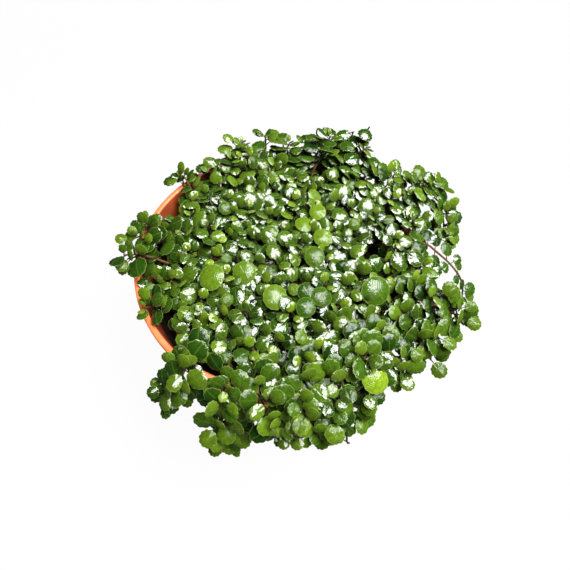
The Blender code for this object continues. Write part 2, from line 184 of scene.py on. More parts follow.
def sums(tree, operation, first, second):
    """Arithmetic on two values, of which either can be a plain number."""
    node = add_node(tree, "ShaderNodeMath", operation=operation)
    for socket, value in zip(node.inputs, (first, second)):
        if isinstance(value, (int, float)):
            socket.default_value = value
        else:
            tree.links.new(value, socket)
    return node.outputs["Value"]


def blend(tree, factor, first, second, how="MIX"):
    """Two colours mixed by a factor, of which any can be plain."""
    node = add_node(tree, "ShaderNodeMix", data_type="RGBA", blend_type=how)
    sockets = [node.inputs["Factor"], *(node.inputs[number] for number in MIX_COLOURS)]
    for socket, value in zip(sockets, (factor, first, second)):
        if isinstance(value, (int, float)):
            socket.default_value = value
        elif isinstance(value, tuple):
            socket.default_value = (*value, 1)
        else:
            tree.links.new(value, socket)
    return node.outputs[MIX_RESULT]


def relief(tree, shader, height, distance, strength=1.0):
    """Bumps of a real height in metres."""
    node = add_node(tree, "ShaderNodeBump", Strength=strength, Distance=distance)
    tree.links.new(height, node.inputs["Height"])
    tree.links.new(node.outputs["Normal"], shader.inputs["Normal"])


def terracotta_plastic(name, dark, light, dust):
    """Moulded plastic, mottled between two tints and dusted with a third."""
    made, tree, shader = node_material(name, 0.36)
    colour = ramp(tree, grain(tree, 90, detail=4), (0.3, dark), (0.7, light))
    dusty = level(tree, grain(tree, 420, detail=6, roughness=0.7), 0.0, 0.30, start=0.52, end=0.78)
    colour = blend(tree, dusty, colour, dust)
    tree.links.new(colour, shader.inputs["Base Color"])
    worn = level(tree, grain(tree, 260), 0.28, 0.48, start=0.3, end=0.7)
    tree.links.new(worn, shader.inputs["Roughness"])
    relief(tree, shader, grain(tree, 2600, detail=2), 0.00004, strength=0.6)
    shader.inputs["Subsurface Weight"].default_value = 0.06
    shader.inputs["Subsurface Radius"].default_value = (1.0, 0.35, 0.15)
    shader.inputs["Subsurface Scale"].default_value = 0.0012
    return made


lip_foot = POT_HEIGHT - LIP_DEPTH
lip_inside = RIM_RADIUS - LIP_WIDTH
base_curve = [math.radians(90 * step / BASE_STEPS) for step in range(BASE_STEPS + 1)]
pot_rings = [
    (
        BASE_RADIUS - BASE_ROUND * (1 - math.sin(turn)) + BASE_FLARE * math.sin(turn),
        BASE_ROUND * (1 - math.cos(turn)),
    )
    for turn in base_curve
]
pot_rings += [
    (wall_radius(lip_foot / 2), lip_foot / 2),
    (wall_radius(lip_foot), lip_foot - LIP_EASE),
    (RIM_RADIUS, lip_foot),
    (RIM_RADIUS, POT_HEIGHT - LIP_EASE),
    (RIM_RADIUS - LIP_EASE, POT_HEIGHT),
    (lip_inside + LIP_EASE, POT_HEIGHT),
    (lip_inside, POT_HEIGHT - LIP_EASE),
    (wall_radius(lip_foot) - WALL, lip_foot),
    (wall_radius(FLOOR) - WALL, FLOOR),
]
bpy.ops.object.select_all(action="DESELECT")
bpy.ops.mesh.primitive_circle_add(vertices=POT_SIDES, radius=pot_rings[0][0], fill_type="NOTHING")
pot = bpy.context.object
pot.name = "nursery_pot"
bpy.ops.object.mode_set(mode="EDIT")
bpy.ops.mesh.select_all(action="SELECT")
for start, end in zip(pot_rings, pot_rings[1:]):
    grow_ring(start, end)
bpy.ops.mesh.edge_face_add()
pick(pot, lambda co: co.z < TINY)
bpy.ops.mesh.edge_face_add()
bpy.ops.mesh.inset(thickness=FOOT_RING, depth=0)
bpy.ops.transform.translate(value=(0, 0, BASE_RECESS))
bpy.ops.mesh.select_all(action="SELECT")
bpy.ops.mesh.normals_make_consistent(inside=False)
bpy.ops.object.mode_set(mode="OBJECT")
pot_edges = pot.modifiers.new("Moulded edges", "BEVEL")
pot_edges.width = MOULD_EDGE
pot_edges.segments = MOULD_SEGMENTS
pot_edges.limit_method = "ANGLE"
pot_edges.angle_limit = MOULD_ANGLE
apply_modifiers(pot)
for number in range(DRAIN_HOLES):
    place = polar(math.tau * number / DRAIN_HOLES, DRAIN_RING, 0)
    bpy.ops.object.select_all(action="DESELECT")
    bpy.ops.mesh.primitive_cylinder_add(
        vertices=DRAIN_SIDES, radius=DRAIN_RADIUS, depth=PUNCH_DEPTH, location=place
    )
    punch = bpy.context.object
    hole = pot.modifiers.new("Drain hole", "BOOLEAN")
    hole.operation = "DIFFERENCE"
    hole.object = punch
    apply_modifiers(pot)
    bpy.data.objects.remove(punch)
take_up(pot)
bpy.ops.object.shade_smooth_by_angle(angle=POT_SMOOTH)
for name, dark, light, dust in (
    ("terracotta_plastic", (0.47, 0.078, 0.023), (0.59, 0.115, 0.035), (0.60, 0.28, 0.17)),
    # A much darker copy of the same plastic, painted shade for the inside of the wall
    ("painted_shade_plastic", (0.095, 0.018, 0.006), (0.170, 0.030, 0.009), (0.04, 0.020, 0.012)),
):
    pot.data.materials.append(terracotta_plastic(name, dark, light, dust))
# The inside of the wall below the lip wears the darker copy: painted shade, where the lip and the leaves
# shade it
for face in pot.data.polygons:
    inwards = face.center.x * face.normal.x + face.center.y * face.normal.y < 0
    if inwards and FLOOR < face.center.z < POT_HEIGHT - LIP_EASE:
        face.material_index = 1
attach(pot, "root")
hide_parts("pot")

# The potting soil: a plug of dark peat that fills the pot to about 12 mm below the lip. Its top
# is lumpy, a little higher in the middle, and strewn with crumbs and fibres of the same peat.
SOIL_BELOW_RIM = 0.0125
SOIL_CROWN = 0.0025
GAP = 0.0003
SOIL_SIDES = 96
SOIL_RING_STEP = 0.0040
SOIL_RING_EASE = 0.0002
SOIL_SMOOTH = math.radians(40)
SOIL_CUTS = 2
STREWN_MARGIN = 0.0015
SOIL_LUMPS = ((0.0060, 0.0016), (0.0018, 0.0009))
CRUMB_SEED = 5
CRUMBS = 620
# The corner of a crumb that is knocked in, and how
CRUMB_SLANT = 0.6
CRUMB_CORNER = 0.5
CRUMB_DENT = (0.75, 1.2, 0.8)
CRUMB_SIZES = (0.0004, 0.0013)
CRUMB_WIDTHS = (0.6, 1.0)
CRUMB_HEIGHTS = (0.5, 0.9)
CRUMB_TILT = 0.6
CRUMB_LIFT = 0.2
FIBRES = 90
FIBRE_LENGTHS = (0.003, 0.008)
FIBRE_THICKNESS = 0.00016
FIBRE_WIDTHS = (0.7, 1.5)
FIBRE_TILT = 0.25
FIBRE_LIFT = 0.0006
# The middle part of a fibre, and how far it is bowed out
FIBRE_CUT = 0.2
FIBRE_MIDDLE = 0.3
FIBRE_BOW = (0, 1.5, 2.5)
soil_edge = POT_HEIGHT - SOIL_BELOW_RIM


def soil_height(radius):
    """The height of the soil, before its lumps, this far from the pot's axis."""
    return soil_edge + SOIL_CROWN * (1 - (radius / wall_radius(soil_edge)) ** 2)


def peat(name, dark, light):
    """Dull, crumbly peat, mottled between two tints."""
    made, tree, shader = node_material(name, 0.9)
    colour = ramp(tree, grain(tree, 700, detail=5, roughness=0.7), (0.35, dark), (0.72, light))
    tree.links.new(colour, shader.inputs["Base Color"])
    damp = level(tree, grain(tree, 500), 0.72, 0.97, start=0.3, end=0.7)
    tree.links.new(damp, shader.inputs["Roughness"])
    relief(tree, shader, grain(tree, 1800, detail=4, roughness=0.7), 0.0003)
    shader.inputs["Specular IOR Level"].default_value = 0.08
    return made


soil_top_radius = wall_radius(soil_edge) - WALL - GAP
soil_foot_radius = wall_radius(FLOOR) - WALL - GAP
bpy.ops.object.select_all(action="DESELECT")
bpy.ops.mesh.primitive_circle_add(
    vertices=SOIL_SIDES, radius=soil_top_radius, fill_type="NGON", location=(0, 0, soil_edge)
)
soil = bpy.context.object
soil.name = "peat_plug"
bpy.ops.object.transform_apply(location=True)
bpy.ops.object.mode_set(mode="EDIT")
bpy.ops.mesh.select_mode(type="FACE")
bpy.ops.mesh.select_all(action="SELECT")
ring_radius = soil_top_radius
while ring_radius > 2 * SOIL_RING_STEP:
    bpy.ops.mesh.inset(thickness=SOIL_RING_STEP, depth=0)
    rise = soil_height(ring_radius - SOIL_RING_STEP) - soil_height(ring_radius)
    bpy.ops.transform.translate(value=(0, 0, rise))
    ring_radius -= SOIL_RING_STEP
bpy.ops.mesh.poke()
bpy.ops.mesh.select_all(action="SELECT")
bpy.ops.mesh.subdivide(number_cuts=SOIL_CUTS)
bpy.ops.object.mode_set(mode="OBJECT")
lumpy = soil.vertex_groups.new(name="top")
lumpy.add([vert.index for vert in soil.data.vertices if vert.co.z > soil_edge + TINY], 1.0, "REPLACE")
for number, (size, height) in enumerate(SOIL_LUMPS):
    texture = bpy.data.textures.new(f"lumps_{number}", "CLOUDS")
    texture.noise_scale = size
    lumps = soil.modifiers.new("Lumps", "DISPLACE")
    lumps.texture = texture
    lumps.texture_coords = "LOCAL"
    lumps.direction = "Z"
    lumps.vertex_group = "top"
    lumps.strength = height
    lumps.mid_level = 0.5
apply_modifiers(soil)
bpy.ops.object.mode_set(mode="EDIT")
pick(soil, lambda co: math.hypot(co.x, co.y) > soil_top_radius - SOIL_RING_EASE)
depth = soil_edge - FLOOR - GAP
bpy.ops.mesh.extrude_edges_move(TRANSFORM_OT_translate={"value": (0, 0, -depth)})
taper = soil_foot_radius / soil_top_radius
bpy.ops.transform.resize(value=(taper, taper, 1), center_override=(0, 0, FLOOR + GAP))
bpy.ops.mesh.edge_face_add()
bpy.ops.mesh.select_all(action="SELECT")
bpy.ops.mesh.normals_make_consistent(inside=False)
bpy.ops.object.mode_set(mode="OBJECT")
bpy.ops.object.shade_smooth_by_angle(angle=SOIL_SMOOTH)
soil.data.materials.append(peat("dark_peat", (0.0035, 0.0022, 0.0015), (0.020, 0.012, 0.007)))
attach(soil, "root")
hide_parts("potting_soil")


def read_form(piece):
    """The points and faces of a modelled form, to be copied many times into one mesh."""
    mesh = piece.data
    return [vert.co.copy() for vert in mesh.vertices], [tuple(face.vertices) for face in mesh.polygons]


def new_object(name, data):
    """A new object at the origin that holds a mesh, a curve, a light or a camera."""
    made = bpy.data.objects.new(name, data)
    bpy.context.scene.collection.objects.link(made)
    return made


def strewn(name, form, places, material):
    """One piece made of many copies of a form, each in its own place."""
    points = []
    faces = []
    for place in places:
        start = len(points)
        points += [place @ point for point in form[0]]
        faces += [[start + corner for corner in face] for face in form[1]]
    mesh = bpy.data.meshes.new(name)
    mesh.from_pydata(points, [], faces)
    mesh.materials.append(material)
    return new_object(name, mesh)


def on_soil(rng):
    """A random place on the soil, and a random turn."""
    radius = (soil_top_radius - STREWN_MARGIN) * math.sqrt(rng.random())
    place = polar(rng.uniform(0, math.tau), radius, soil_height(radius))
    return Matrix.Translation(place) @ Matrix.Rotation(rng.uniform(0, math.tau), 4, "Z")


rng = random.Random(CRUMB_SEED)
bpy.ops.object.select_all(action="DESELECT")
bpy.ops.mesh.primitive_ico_sphere_add(subdivisions=1, radius=1)
crumb = bpy.context.object
bpy.ops.object.mode_set(mode="EDIT")
pick(crumb, lambda co: co.x + CRUMB_SLANT * co.z > CRUMB_CORNER)
bpy.ops.transform.resize(value=CRUMB_DENT)
bpy.ops.object.mode_set(mode="OBJECT")
crumb_places = []
for number in range(CRUMBS):
    size = rng.uniform(*CRUMB_SIZES)
    squash = Matrix.Diagonal((size, size * rng.uniform(*CRUMB_WIDTHS), size * rng.uniform(*CRUMB_HEIGHTS), 1))
    tilt = Matrix.Rotation(rng.uniform(-CRUMB_TILT, CRUMB_TILT), 4, "X")
    crumb_places.append(on_soil(rng) @ Matrix.Translation((0, 0, size * CRUMB_LIFT)) @ tilt @ squash)
crumbly_peat = peat("crumbly_peat", (0.006, 0.0035, 0.002), (0.05, 0.028, 0.014))
crumbs = strewn("peat_crumbs", read_form(crumb), crumb_places, crumbly_peat)
bpy.data.objects.remove(crumb)
bpy.ops.object.select_all(action="DESELECT")
bpy.ops.mesh.primitive_cylinder_add(vertices=5, radius=1, depth=1, rotation=(0, math.radians(90), 0))
fibre = bpy.context.object
bpy.ops.object.transform_apply(rotation=True)
bpy.ops.object.mode_set(mode="EDIT")
for cut in (-FIBRE_CUT, FIBRE_CUT):
    bpy.ops.mesh.select_all(action="SELECT")
    bpy.ops.mesh.bisect(plane_co=(cut, 0, 0), plane_no=(1, 0, 0))
pick(fibre, lambda co: abs(co.x) < FIBRE_MIDDLE)
bpy.ops.transform.translate(value=FIBRE_BOW)
bpy.ops.object.mode_set(mode="OBJECT")
fibre_places = []
for number in range(FIBRES):
    length = rng.uniform(*FIBRE_LENGTHS)
    thin = FIBRE_THICKNESS * rng.uniform(*FIBRE_WIDTHS)
    tilt = Matrix.Rotation(rng.uniform(-FIBRE_TILT, FIBRE_TILT), 4, "Y")
    stretch = Matrix.Diagonal((length, thin, thin, 1))
    fibre_places.append(on_soil(rng) @ Matrix.Translation((0, 0, FIBRE_LIFT)) @ tilt @ stretch)
brown_fibre = peat("brown_fibre", (0.03, 0.016, 0.008), (0.14, 0.075, 0.035))
fibres = strewn("peat_fibres", read_form(fibre), fibre_places, brown_fibre)
bpy.data.objects.remove(fibre)
for piece in (crumbs, fibres):
    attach(piece, "root")
    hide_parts("potting_soil")

# The growth: every shoot of the plant, with the routes of its stems and the places of its leaves.
# Shoots root in the soil, the ones at the edge lean over the lip, and no leaf cuts through another.
LEAF_SIDES = 6
LEAF_THICK = 0.12
PETIOLE = 0.30
ROOT_WIDTH = 0.05
ROOT_REACH = 0.04
KEEP_OUT_RADIUS = 0.56
KEEP_OUT_THICK = 0.27
KEEP_OUT_SHARES = (0, 0.5, 1)
STEM_RADIUS = 0.0008
STEM_POINTS = 4
STEM_PROBE = 0.0010
STEM_CLEARANCE = 0.00045
SLEEVE_SIDES = 3
MAT_SHOOTS = 36
MAT_TIPS = 84
MAT_SEED = 11
TIP_PHASE = 0.37
TIP_JITTER = 0.0016
GOLDEN_ANGLE = math.radians(137.508)
# How far the mat reaches from the pot's axis, every 30 degrees from +X
MAT_REACH = (0.062, 0.062, 0.061, 0.056, 0.052, 0.046, 0.054, 0.051, 0.056, 0.066, 0.067, 0.066)
MAT_CROWN = 0.0095
MAT_EDGE = 0.0040
BACK_RISE = 0.0070
BACK_AZIMUTH = math.radians(70)
# Hollows between the shoots, where the mat shows dark: (x, y, radius)
HOLLOWS = ((0.042, 0.000, 0.0065), (0.018, 0.041, 0.0070), (-0.048, -0.006, 0.0060))
FOOT_REACH = 0.0470
FOOT_LEAN = 0.80
EDGE_FOOT_SHIFT = 0.001
MAT_KNEE = 0.006
EDGE_KNEE = 0.004
NECK = 0.005
BRANCH_SAG = 0.001
OVER_LIP_RADIUS = 0.0530
OVER_LIP_RISE = 0.0030
# Leaf pairs counted back from a tip: (distance from the tip, leaf length, lift in degrees)
MAT_PAIRS = ((0.0012, 0.0054, 24), (0.0036, 0.0070, 8))
EDGE_PAIRS = (
    (0.0010, 0.0052, 30),
    (0.0048, 0.0068, 12),
    (0.0118, 0.0070, 0),
    (0.0190, 0.0066, 0),
    (0.0270, 0.0066, 6),
)
PAIR_OFFSET = 0.0005
LIGHT_LEAN = 0.24
LIGHT_FRONT = -0.20
TIP_TILT = 0.30
MAT_HOLD = 0.75
EDGE_HOLD = 0.60
HANG_TURN = 0.60
LYING = 0.50
FAN_TURN = math.radians(24)
LIFT_WOBBLE = 8
SIZE_WOBBLE = (0.88, 1.14)
QUARTER = math.radians(90)
TRY_TURNS = (0, 24, -24, 48, -48, 72)
TRY_SIZES = (1.0, 0.86, 0.74)
TRY_ROUTES = 40
MAT_LOOSE = (0.0015, 0.0002)
EDGE_LOOSE = (0.0, 0.0001)

# Shoots at the edge: name, leaf scale, then the stem's way points beyond its foot as
# (azimuth in degrees, distance from the axis, height above the rim), in millimetres
EDGE_SHOOTS = (
    ("shoot_left_upper", 1.0, ((168, 46, 2), (172, 53, 6), (177, 58, 7))),
    ("shoot_left_tip", 1.15, ((-173, 46, 1), (-175, 54, 5), (-176, 63, 5))),
    ("shoot_left_rim", 0.95, ((-148, 46, -3), (-150, 53, 3), (-151, 58, 4))),
    ("shoot_upper_left", 1.0, ((140, 47, -4), (139, 54, 4), (138, 58, 6))),
    ("shoot_back_sprig", 0.80, ((114, 49, 2), (111, 53, 7), (107, 56, 12))),
    ("shoot_back", 0.95, ((88, 46, 5), (86, 51, 9), (84, 54, 12))),
    ("shoot_back_tall", 1.0, ((68, 44, 6), (66, 51, 13), (65, 57, 18))),
    ("shoot_back_right", 0.95, ((53, 46, 4), (52, 56, 11), (50, 63, 14))),
    ("shoot_right_back", 0.90, ((37, 47, 3), (36, 58, 8), (34, 66, 6))),
    ("shoot_right_arch", 0.95, ((26, 56, 7), (24, 67, 8), (21, 77, 3), (15, 79, -5), (10, 76, -10))),
    ("shoot_right_hanging", 0.75, ((2, 58, 5), (-1, 67, 2), (-4, 76, -5), (-6, 81, -12), (-7, 83, -19))),
    ("shoot_right_pair", 0.95, ((-25, 56, 4), (-24, 66, 4), (-22, 73, 0), (-22, 78, -5))),
    ("shoot_right_low", 0.95, ((-34, 55, 4), (-35, 64, 3), (-34, 69, -2), (-35, 71, -7))),
    ("shoot_front_right", 0.90, ((-48, 54, 4), (-48, 62, 3), (-46, 67, -3), (-45, 68, -8))),
    ("shoot_front_dark", 1.0, ((-68, 55, 3), (-68, 63, 1), (-67, 66, -8), (-68, 67, -14))),
    ("shoot_big_leaf", 1.25, ((-60, 50, 3), (-60, 57, 6), (-59, 62, 5))),
    ("shoot_front", 1.05, ((-82, 54, 4), (-82, 63, 3), (-80, 69, -6), (-78, 72, -16))),
    ("shoot_front_left", 1.0, ((-97, 53, 3), (-96, 62, 4), (-92, 67, -4), (-87, 69, -12))),
    (
        "shoot_front_trailing",
        1.0,
        ((-109, 52, 3), (-108, 62, 3), (-106, 67, -10), (-105, 71, -23), (-105, 73, -30)),
    ),
    ("shoot_left_trailing", 1.0, ((-123, 52, 2), (-122, 61, 4), (-123, 67, -5), (-125, 72, -10))),
)


def clear_of_pot(point, gap):
    radius = math.hypot(point.x, point.y)
    if point.z > POT_HEIGHT + gap:
        return True
    at_lip = point.z > POT_HEIGHT - LIP_DEPTH - gap
    outside = RIM_RADIUS if at_lip else wall_radius(point.z)
    if radius > outside + gap:
        return True
    inside = RIM_RADIUS - LIP_WIDTH if at_lip else wall_radius(point.z) - WALL
    return radius < inside - gap and point.z > soil_height(radius) + gap


def unit_leaf(radius, thickness, cone):
    """A flat leaf one long: a low cone, or a slab of the same outline, with two corners at the stem."""
    shape = bmesh.new()
    bmesh.ops.create_cone(
        shape,
        cap_ends=True,
        segments=LEAF_SIDES,
        radius1=radius,
        radius2=0 if cone else radius,
        depth=thickness,
        matrix=Matrix.Translation((PETIOLE + 0.5, 0, 0)) @ Matrix.Rotation(-QUARTER, 4, "Z"),
    )
    bmesh.ops.remove_doubles(shape, verts=shape.verts, dist=0.0001)
    nearest = min(vert.co.x for vert in shape.verts)
    for vert in shape.verts:
        if vert.co.x < nearest + 0.001:
            vert.co.x = -ROOT_REACH
            vert.co.y = math.copysign(ROOT_WIDTH, vert.co.y)
    points = [vert.co.copy() for vert in shape.verts]
    faces = [tuple(vert.index for vert in face.verts) for face in shape.faces]
    shape.free()
    return points, faces


def stem_sleeve(route, radius=STEM_RADIUS):
    """A sleeve of few sides round a stem's route, which the shoots after it keep clear of."""
    points = []
    faces = []
    for number, point in enumerate(route):
        ahead = route[min(number + 1, len(route) - 1)] - route[max(number - 1, 0)]
        across = ahead.orthogonal().normalized() * radius
        for corner in range(SLEEVE_SIDES):
            turn = Matrix.Rotation(math.tau * corner / SLEEVE_SIDES, 3, ahead.normalized())
            points.append(point + turn @ across)
        if number:
            for corner in range(SLEEVE_SIDES):
                a = SLEEVE_SIDES * (number - 1) + corner
                b = SLEEVE_SIDES * (number - 1) + (corner + 1) % SLEEVE_SIDES
                faces.append((a, b, b + SLEEVE_SIDES, a + SLEEVE_SIDES))
    return points, faces


class Foliage:
    """All the shoots so far, with what a new leaf or stem has to stay clear of."""

    def __init__(self):
        self.leaf = unit_leaf(0.5, LEAF_THICK, True)
        self.keep_out = unit_leaf(KEEP_OUT_RADIUS, KEEP_OUT_THICK, False)
        middle = Vector((PETIOLE + 0.5, 0, 0))
        self.probes = [point.lerp(middle, share) for point in self.keep_out[0] for share in KEEP_OUT_SHARES]
        self.points = []
        self.faces = []
        self.tree = None

    def add(self, points, faces):
        start = len(self.points)
        self.points += points
        self.faces += [tuple(start + corner for corner in face) for face in faces]

    def take(self, routes, leaves):
        """Keeps a grown shoot's leaves and stems, for the shoots after it to clear."""
        for place in leaves:
            self.add([place @ point for point in self.leaf[0]], self.leaf[1])
        for route in routes:
            self.add(*stem_sleeve(route))
        self.tree = BVHTree.FromPolygons(self.points, self.faces)

    def leaf_is_clear(self, place, own):
        points = [place @ point for point in self.keep_out[0]]
        if not all(clear_of_pot(place @ probe, GAP) for probe in self.probes):
            return False
        slab = BVHTree.FromPolygons(points, self.keep_out[1])
        if self.tree and slab.overlap(self.tree):
            return False
        return not any(slab.overlap(other) for other in own)

    def stem_is_clear(self, route):
        reach = STEM_RADIUS + STEM_CLEARANCE
        for start, end in zip(route, route[1:]):
            steps = max(1, round((end - start).length / STEM_PROBE))
            for step in range(steps + 1):
                point = start.lerp(end, step / steps)
                in_ground = point.z < soil_height(0) + 2 * STEM_RADIUS
                if not in_ground and not clear_of_pot(point, reach):
                    return False
                if self.tree and self.tree.find_nearest(point, reach + GAP)[0]:
                    return False
        return True


def smooth_route(way, count):
    """Points along a Catmull-Rom curve through the way points, from first to last."""
    padded = [2 * way[0] - way[1], *way, 2 * way[-1] - way[-2]]
    spans = len(way) - 1
    route = []
    for number in range(count):
        place = number / (count - 1) * spans
        span = min(int(place), spans - 1)
        t = place - span
        a, b, c, d = padded[span : span + 4]
        bend = (2 * a - 5 * b + 4 * c - d) * t**2 + (3 * b - a - 3 * c + d) * t**3
        route.append(0.5 * (2 * b + (c - a) * t + bend))
    return route


def seated(route):
    """The route with its foot raised, so that a leaning stem's cut end keeps clear of the soil."""
    first = (route[1] - route[0]).normalized()
    lean = math.hypot(first.x, first.y)
    return [route[0] + Vector((0, 0, STEM_RADIUS * lean)), *route[1:]]


def along_route(route, back):
    """The point that lies back from the route's end, and the direction towards the end there."""
    for start, end in zip(route[-2::-1], route[::-1]):
        length = (end - start).length
        if back <= length:
            return end.lerp(start, back / length), (end - start).normalized()
        back -= length
    return None, None


def leaf_place(root, side, facing, lift, length):
    """The matrix that carries the unit leaf to a stem: X along it, Z out of its upper face."""
    along = (math.cos(lift) * side + math.sin(lift) * facing).normalized()
    normal = (math.cos(lift) * facing - math.sin(lift) * side).normalized()
    turn = Matrix((along, normal.cross(along), normal)).transposed().to_4x4()
    return Matrix.Translation(root) @ turn @ Matrix.Scale(length, 4)


def leaf_wobble(rng):
    return math.radians(rng.uniform(-LIFT_WOBBLE, LIFT_WOBBLE)), rng.uniform(*SIZE_WOBBLE)


def nudge(loose, rng):
    return Vector([rng.uniform(-loose, loose) for _ in range(3)])


def grow_pair(foliage, own, roots, facing, across, lift, length, wobble):
    """Both leaves of a pair, turned or shrunk until they clear the rest, or one, or none."""
    best = []
    for size in TRY_SIZES:
        for turn in TRY_TURNS:
            side = Matrix.Rotation(math.radians(turn), 3, facing) @ across
            pair = []
            for sign, root, (more_lift, more_length) in zip((1, -1), roots, wobble):
                place = leaf_place(root, sign * side, facing, lift + more_lift, length * size * more_length)
                if foliage.leaf_is_clear(place, own):
                    pair.append(place)
            if len(pair) == 2:
                return pair
            if len(pair) > len(best):
                best = pair
    return best


def to_light(point):
    """The way that leaves and tips lean: up, outwards, and a little to the front, where the light is."""
    outward = Vector((point.x, point.y, 0)) / RIM_RADIUS
    return Vector((0, LIGHT_FRONT, 1)) + LIGHT_LEAN * outward


def facing_of(root, heading, hold):
    """Where a leaf looks: to the light, nearer its stem where that rises, across it where it hangs."""
    light = to_light(root).normalized()
    rise = heading.dot(light)
    if rise > 0:
        return light.lerp(heading, hold * rise).normalized()
    return (light - HANG_TURN * rise * heading).normalized()


def across_of(facing, heading, turn, number):
    """The line of a pair: sideways from a lying stem, or else each pair crossing the last."""
    sideways = facing.cross(heading)
    if sideways.length > LYING:
        fan = FAN_TURN if number % 2 else -FAN_TURN
        return Matrix.Rotation(fan, 3, facing) @ sideways.normalized()
    across = facing.cross(Vector((math.cos(turn), math.sin(turn), 0))).normalized()
    return Matrix.Rotation(QUARTER * (number % 2), 3, facing) @ across


def grow_branch(foliage, own, route, pairs, scale, hold, rng):
    """Leaf pairs along one branch, each crossing the last. hold is how far they follow the stem."""
    turn = rng.uniform(0, math.pi)
    leaves = []
    for number, (back, length, lift) in enumerate(pairs):
        wobble = [leaf_wobble(rng) for _ in range(2)]
        root, heading = along_route(route, back * scale)
        if root is None:
            break
        facing = facing_of(root, heading, hold)
        across = across_of(facing, heading, turn, number)
        roots = (root, root - PAIR_OFFSET * heading)
        pair = grow_pair(foliage, own, roots, facing, across, math.radians(lift), length * scale, wobble)
        for place in pair:
            own.append(BVHTree.FromPolygons([place @ point for point in foliage.leaf[0]], foliage.leaf[1]))
        leaves += pair
    return leaves


def mat_reach(azimuth):
    step = math.degrees(azimuth) % 360 / 30
    low = int(step) % 12
    return MAT_REACH[low] + (MAT_REACH[(low + 1) % 12] - MAT_REACH[low]) * (step - int(step))


def mat_point(share, number, rng):
    """One place in the mat, from the middle at share 0 to the edge at share 1."""
    azimuth = number * GOLDEN_ANGLE
    spread = math.sqrt(share)
    radius = spread * mat_reach(azimuth)
    rise = MAT_CROWN + (MAT_EDGE - MAT_CROWN) * spread**2
    rise += BACK_RISE * max(0.0, math.cos(azimuth - BACK_AZIMUTH)) * spread**2
    point = polar(azimuth, radius, POT_HEIGHT + rise)
    return point + nudge(TIP_JITTER, rng)


def in_hollow(point):
    return any(math.hypot(point.x - x, point.y - y) < radius for x, y, radius in HOLLOWS)


def mat_groups():
    """The tips of each mat shoot: every tip belongs to the shoot centre nearest to it."""
    rng = random.Random(MAT_SEED)
    centres = [mat_point((n + 0.5) / MAT_SHOOTS, n, rng) for n in range(MAT_SHOOTS)]
    groups = [[] for _ in centres]
    for number in range(MAT_TIPS):
        tip = mat_point((number + 0.5) / MAT_TIPS, number + TIP_PHASE, rng)
        if in_hollow(tip):
            continue
        nearest = min(range(MAT_SHOOTS), key=lambda n: (centres[n] - tip).length)
        groups[nearest].append(tip)
    return [group for group in groups if group]


def shoot_foot(point, loose, rng):
    """Where a shoot leaves the soil, nearer to the pot's axis than its tips."""
    lean = Vector((point.x, point.y)) * FOOT_LEAN
    lean += Vector((rng.uniform(-loose, loose), rng.uniform(-loose, loose)))
    if lean.length > FOOT_REACH:
        lean = lean * (FOOT_REACH / lean.length)
    return Vector((lean.x, lean.y, soil_height(lean.length) + GAP))


def mat_way(start, tip, heading, rises):
    """Way points of a stem to a mat tip. One that rises from the soil clears the lip first."""
    neck = tip - NECK * heading
    if not rises:
        return [start, start.lerp(neck, 0.5) - Vector((0, 0, BRANCH_SAG)), neck, tip]
    knee = start + Vector((0, 0, MAT_KNEE))
    if math.hypot(tip.x, tip.y) < OVER_LIP_RADIUS:
        return [start, knee, neck, tip]
    azimuth = math.atan2(tip.y, tip.x)
    over = polar(azimuth, RIM_RADIUS - LIP_WIDTH, POT_HEIGHT + OVER_LIP_RISE)
    return [start, knee, over, tip]


def grow_mat_shoot(foliage, tips, rng):
    """Stem routes and leaves of one shoot of the mat: a main stem, and a branch for each other tip."""
    middle = sum(tips, Vector()) / len(tips)
    tips = sorted(tips, key=lambda tip: (tip - middle).length)
    routes = []
    leaves = []
    own = []
    for tip in tips:
        for attempt in range(TRY_ROUTES):
            loose = MAT_LOOSE[0] + MAT_LOOSE[1] * attempt
            end = tip + nudge(loose, rng)
            tilt = Vector((rng.uniform(-TIP_TILT, TIP_TILT), rng.uniform(-TIP_TILT, TIP_TILT), 0))
            heading = (to_light(tip) + tilt).normalized()
            start = routes[0][1] if routes else shoot_foot(middle, loose, rng)
            route = smooth_route(mat_way(start, end, heading, not routes), STEM_POINTS)
            route = route if routes else seated(route)
            if foliage.stem_is_clear(route):
                grown = grow_branch(foliage, own, route, MAT_PAIRS, 1.0, MAT_HOLD, rng)
                if len(grown) >= 2:
                    routes.append(route)
                    leaves += grown
                    break
    return routes, leaves


def grow_edge_shoot(foliage, way_points, scale, rng):
    """Stem route and leaves of a shoot at the edge, along its chosen way points."""
    way = [polar(math.radians(a), r / 1000, POT_HEIGHT + h / 1000) for a, r, h in way_points]
    for attempt in range(TRY_ROUTES):
        loose = EDGE_LOOSE[0] + EDGE_LOOSE[1] * attempt
        shift = nudge(loose, rng)
        foot = shoot_foot(way[0], EDGE_FOOT_SHIFT + loose, rng)
        knee = foot + Vector((0, 0, EDGE_KNEE))
        route = seated(smooth_route([foot, knee, *[point + shift for point in way]], 2 * len(way) + 1))
        if foliage.stem_is_clear(route):
            return [route], grow_branch(foliage, [], route, EDGE_PAIRS, scale, EDGE_HOLD, rng)
    return [], []


def grow_main_shoots():
    """The shoots that the frame holds, as (node, stem routes, leaf matrices)."""
    foliage = Foliage()
    shoots = []
    for name, scale, way_points in EDGE_SHOOTS:
        routes, leaves = grow_edge_shoot(foliage, way_points, scale, random.Random(name))
        foliage.take(routes, leaves)
        shoots.append((name, routes, leaves))
    for number, tips in enumerate(mat_groups()):
        routes, leaves = grow_mat_shoot(foliage, tips, random.Random(number))
        if routes:
            foliage.take(routes, leaves)
            shoots.append((f"mat_shoot_{len(shoots) - len(EDGE_SHOOTS) + 1:02d}", routes, leaves))
    return shoots


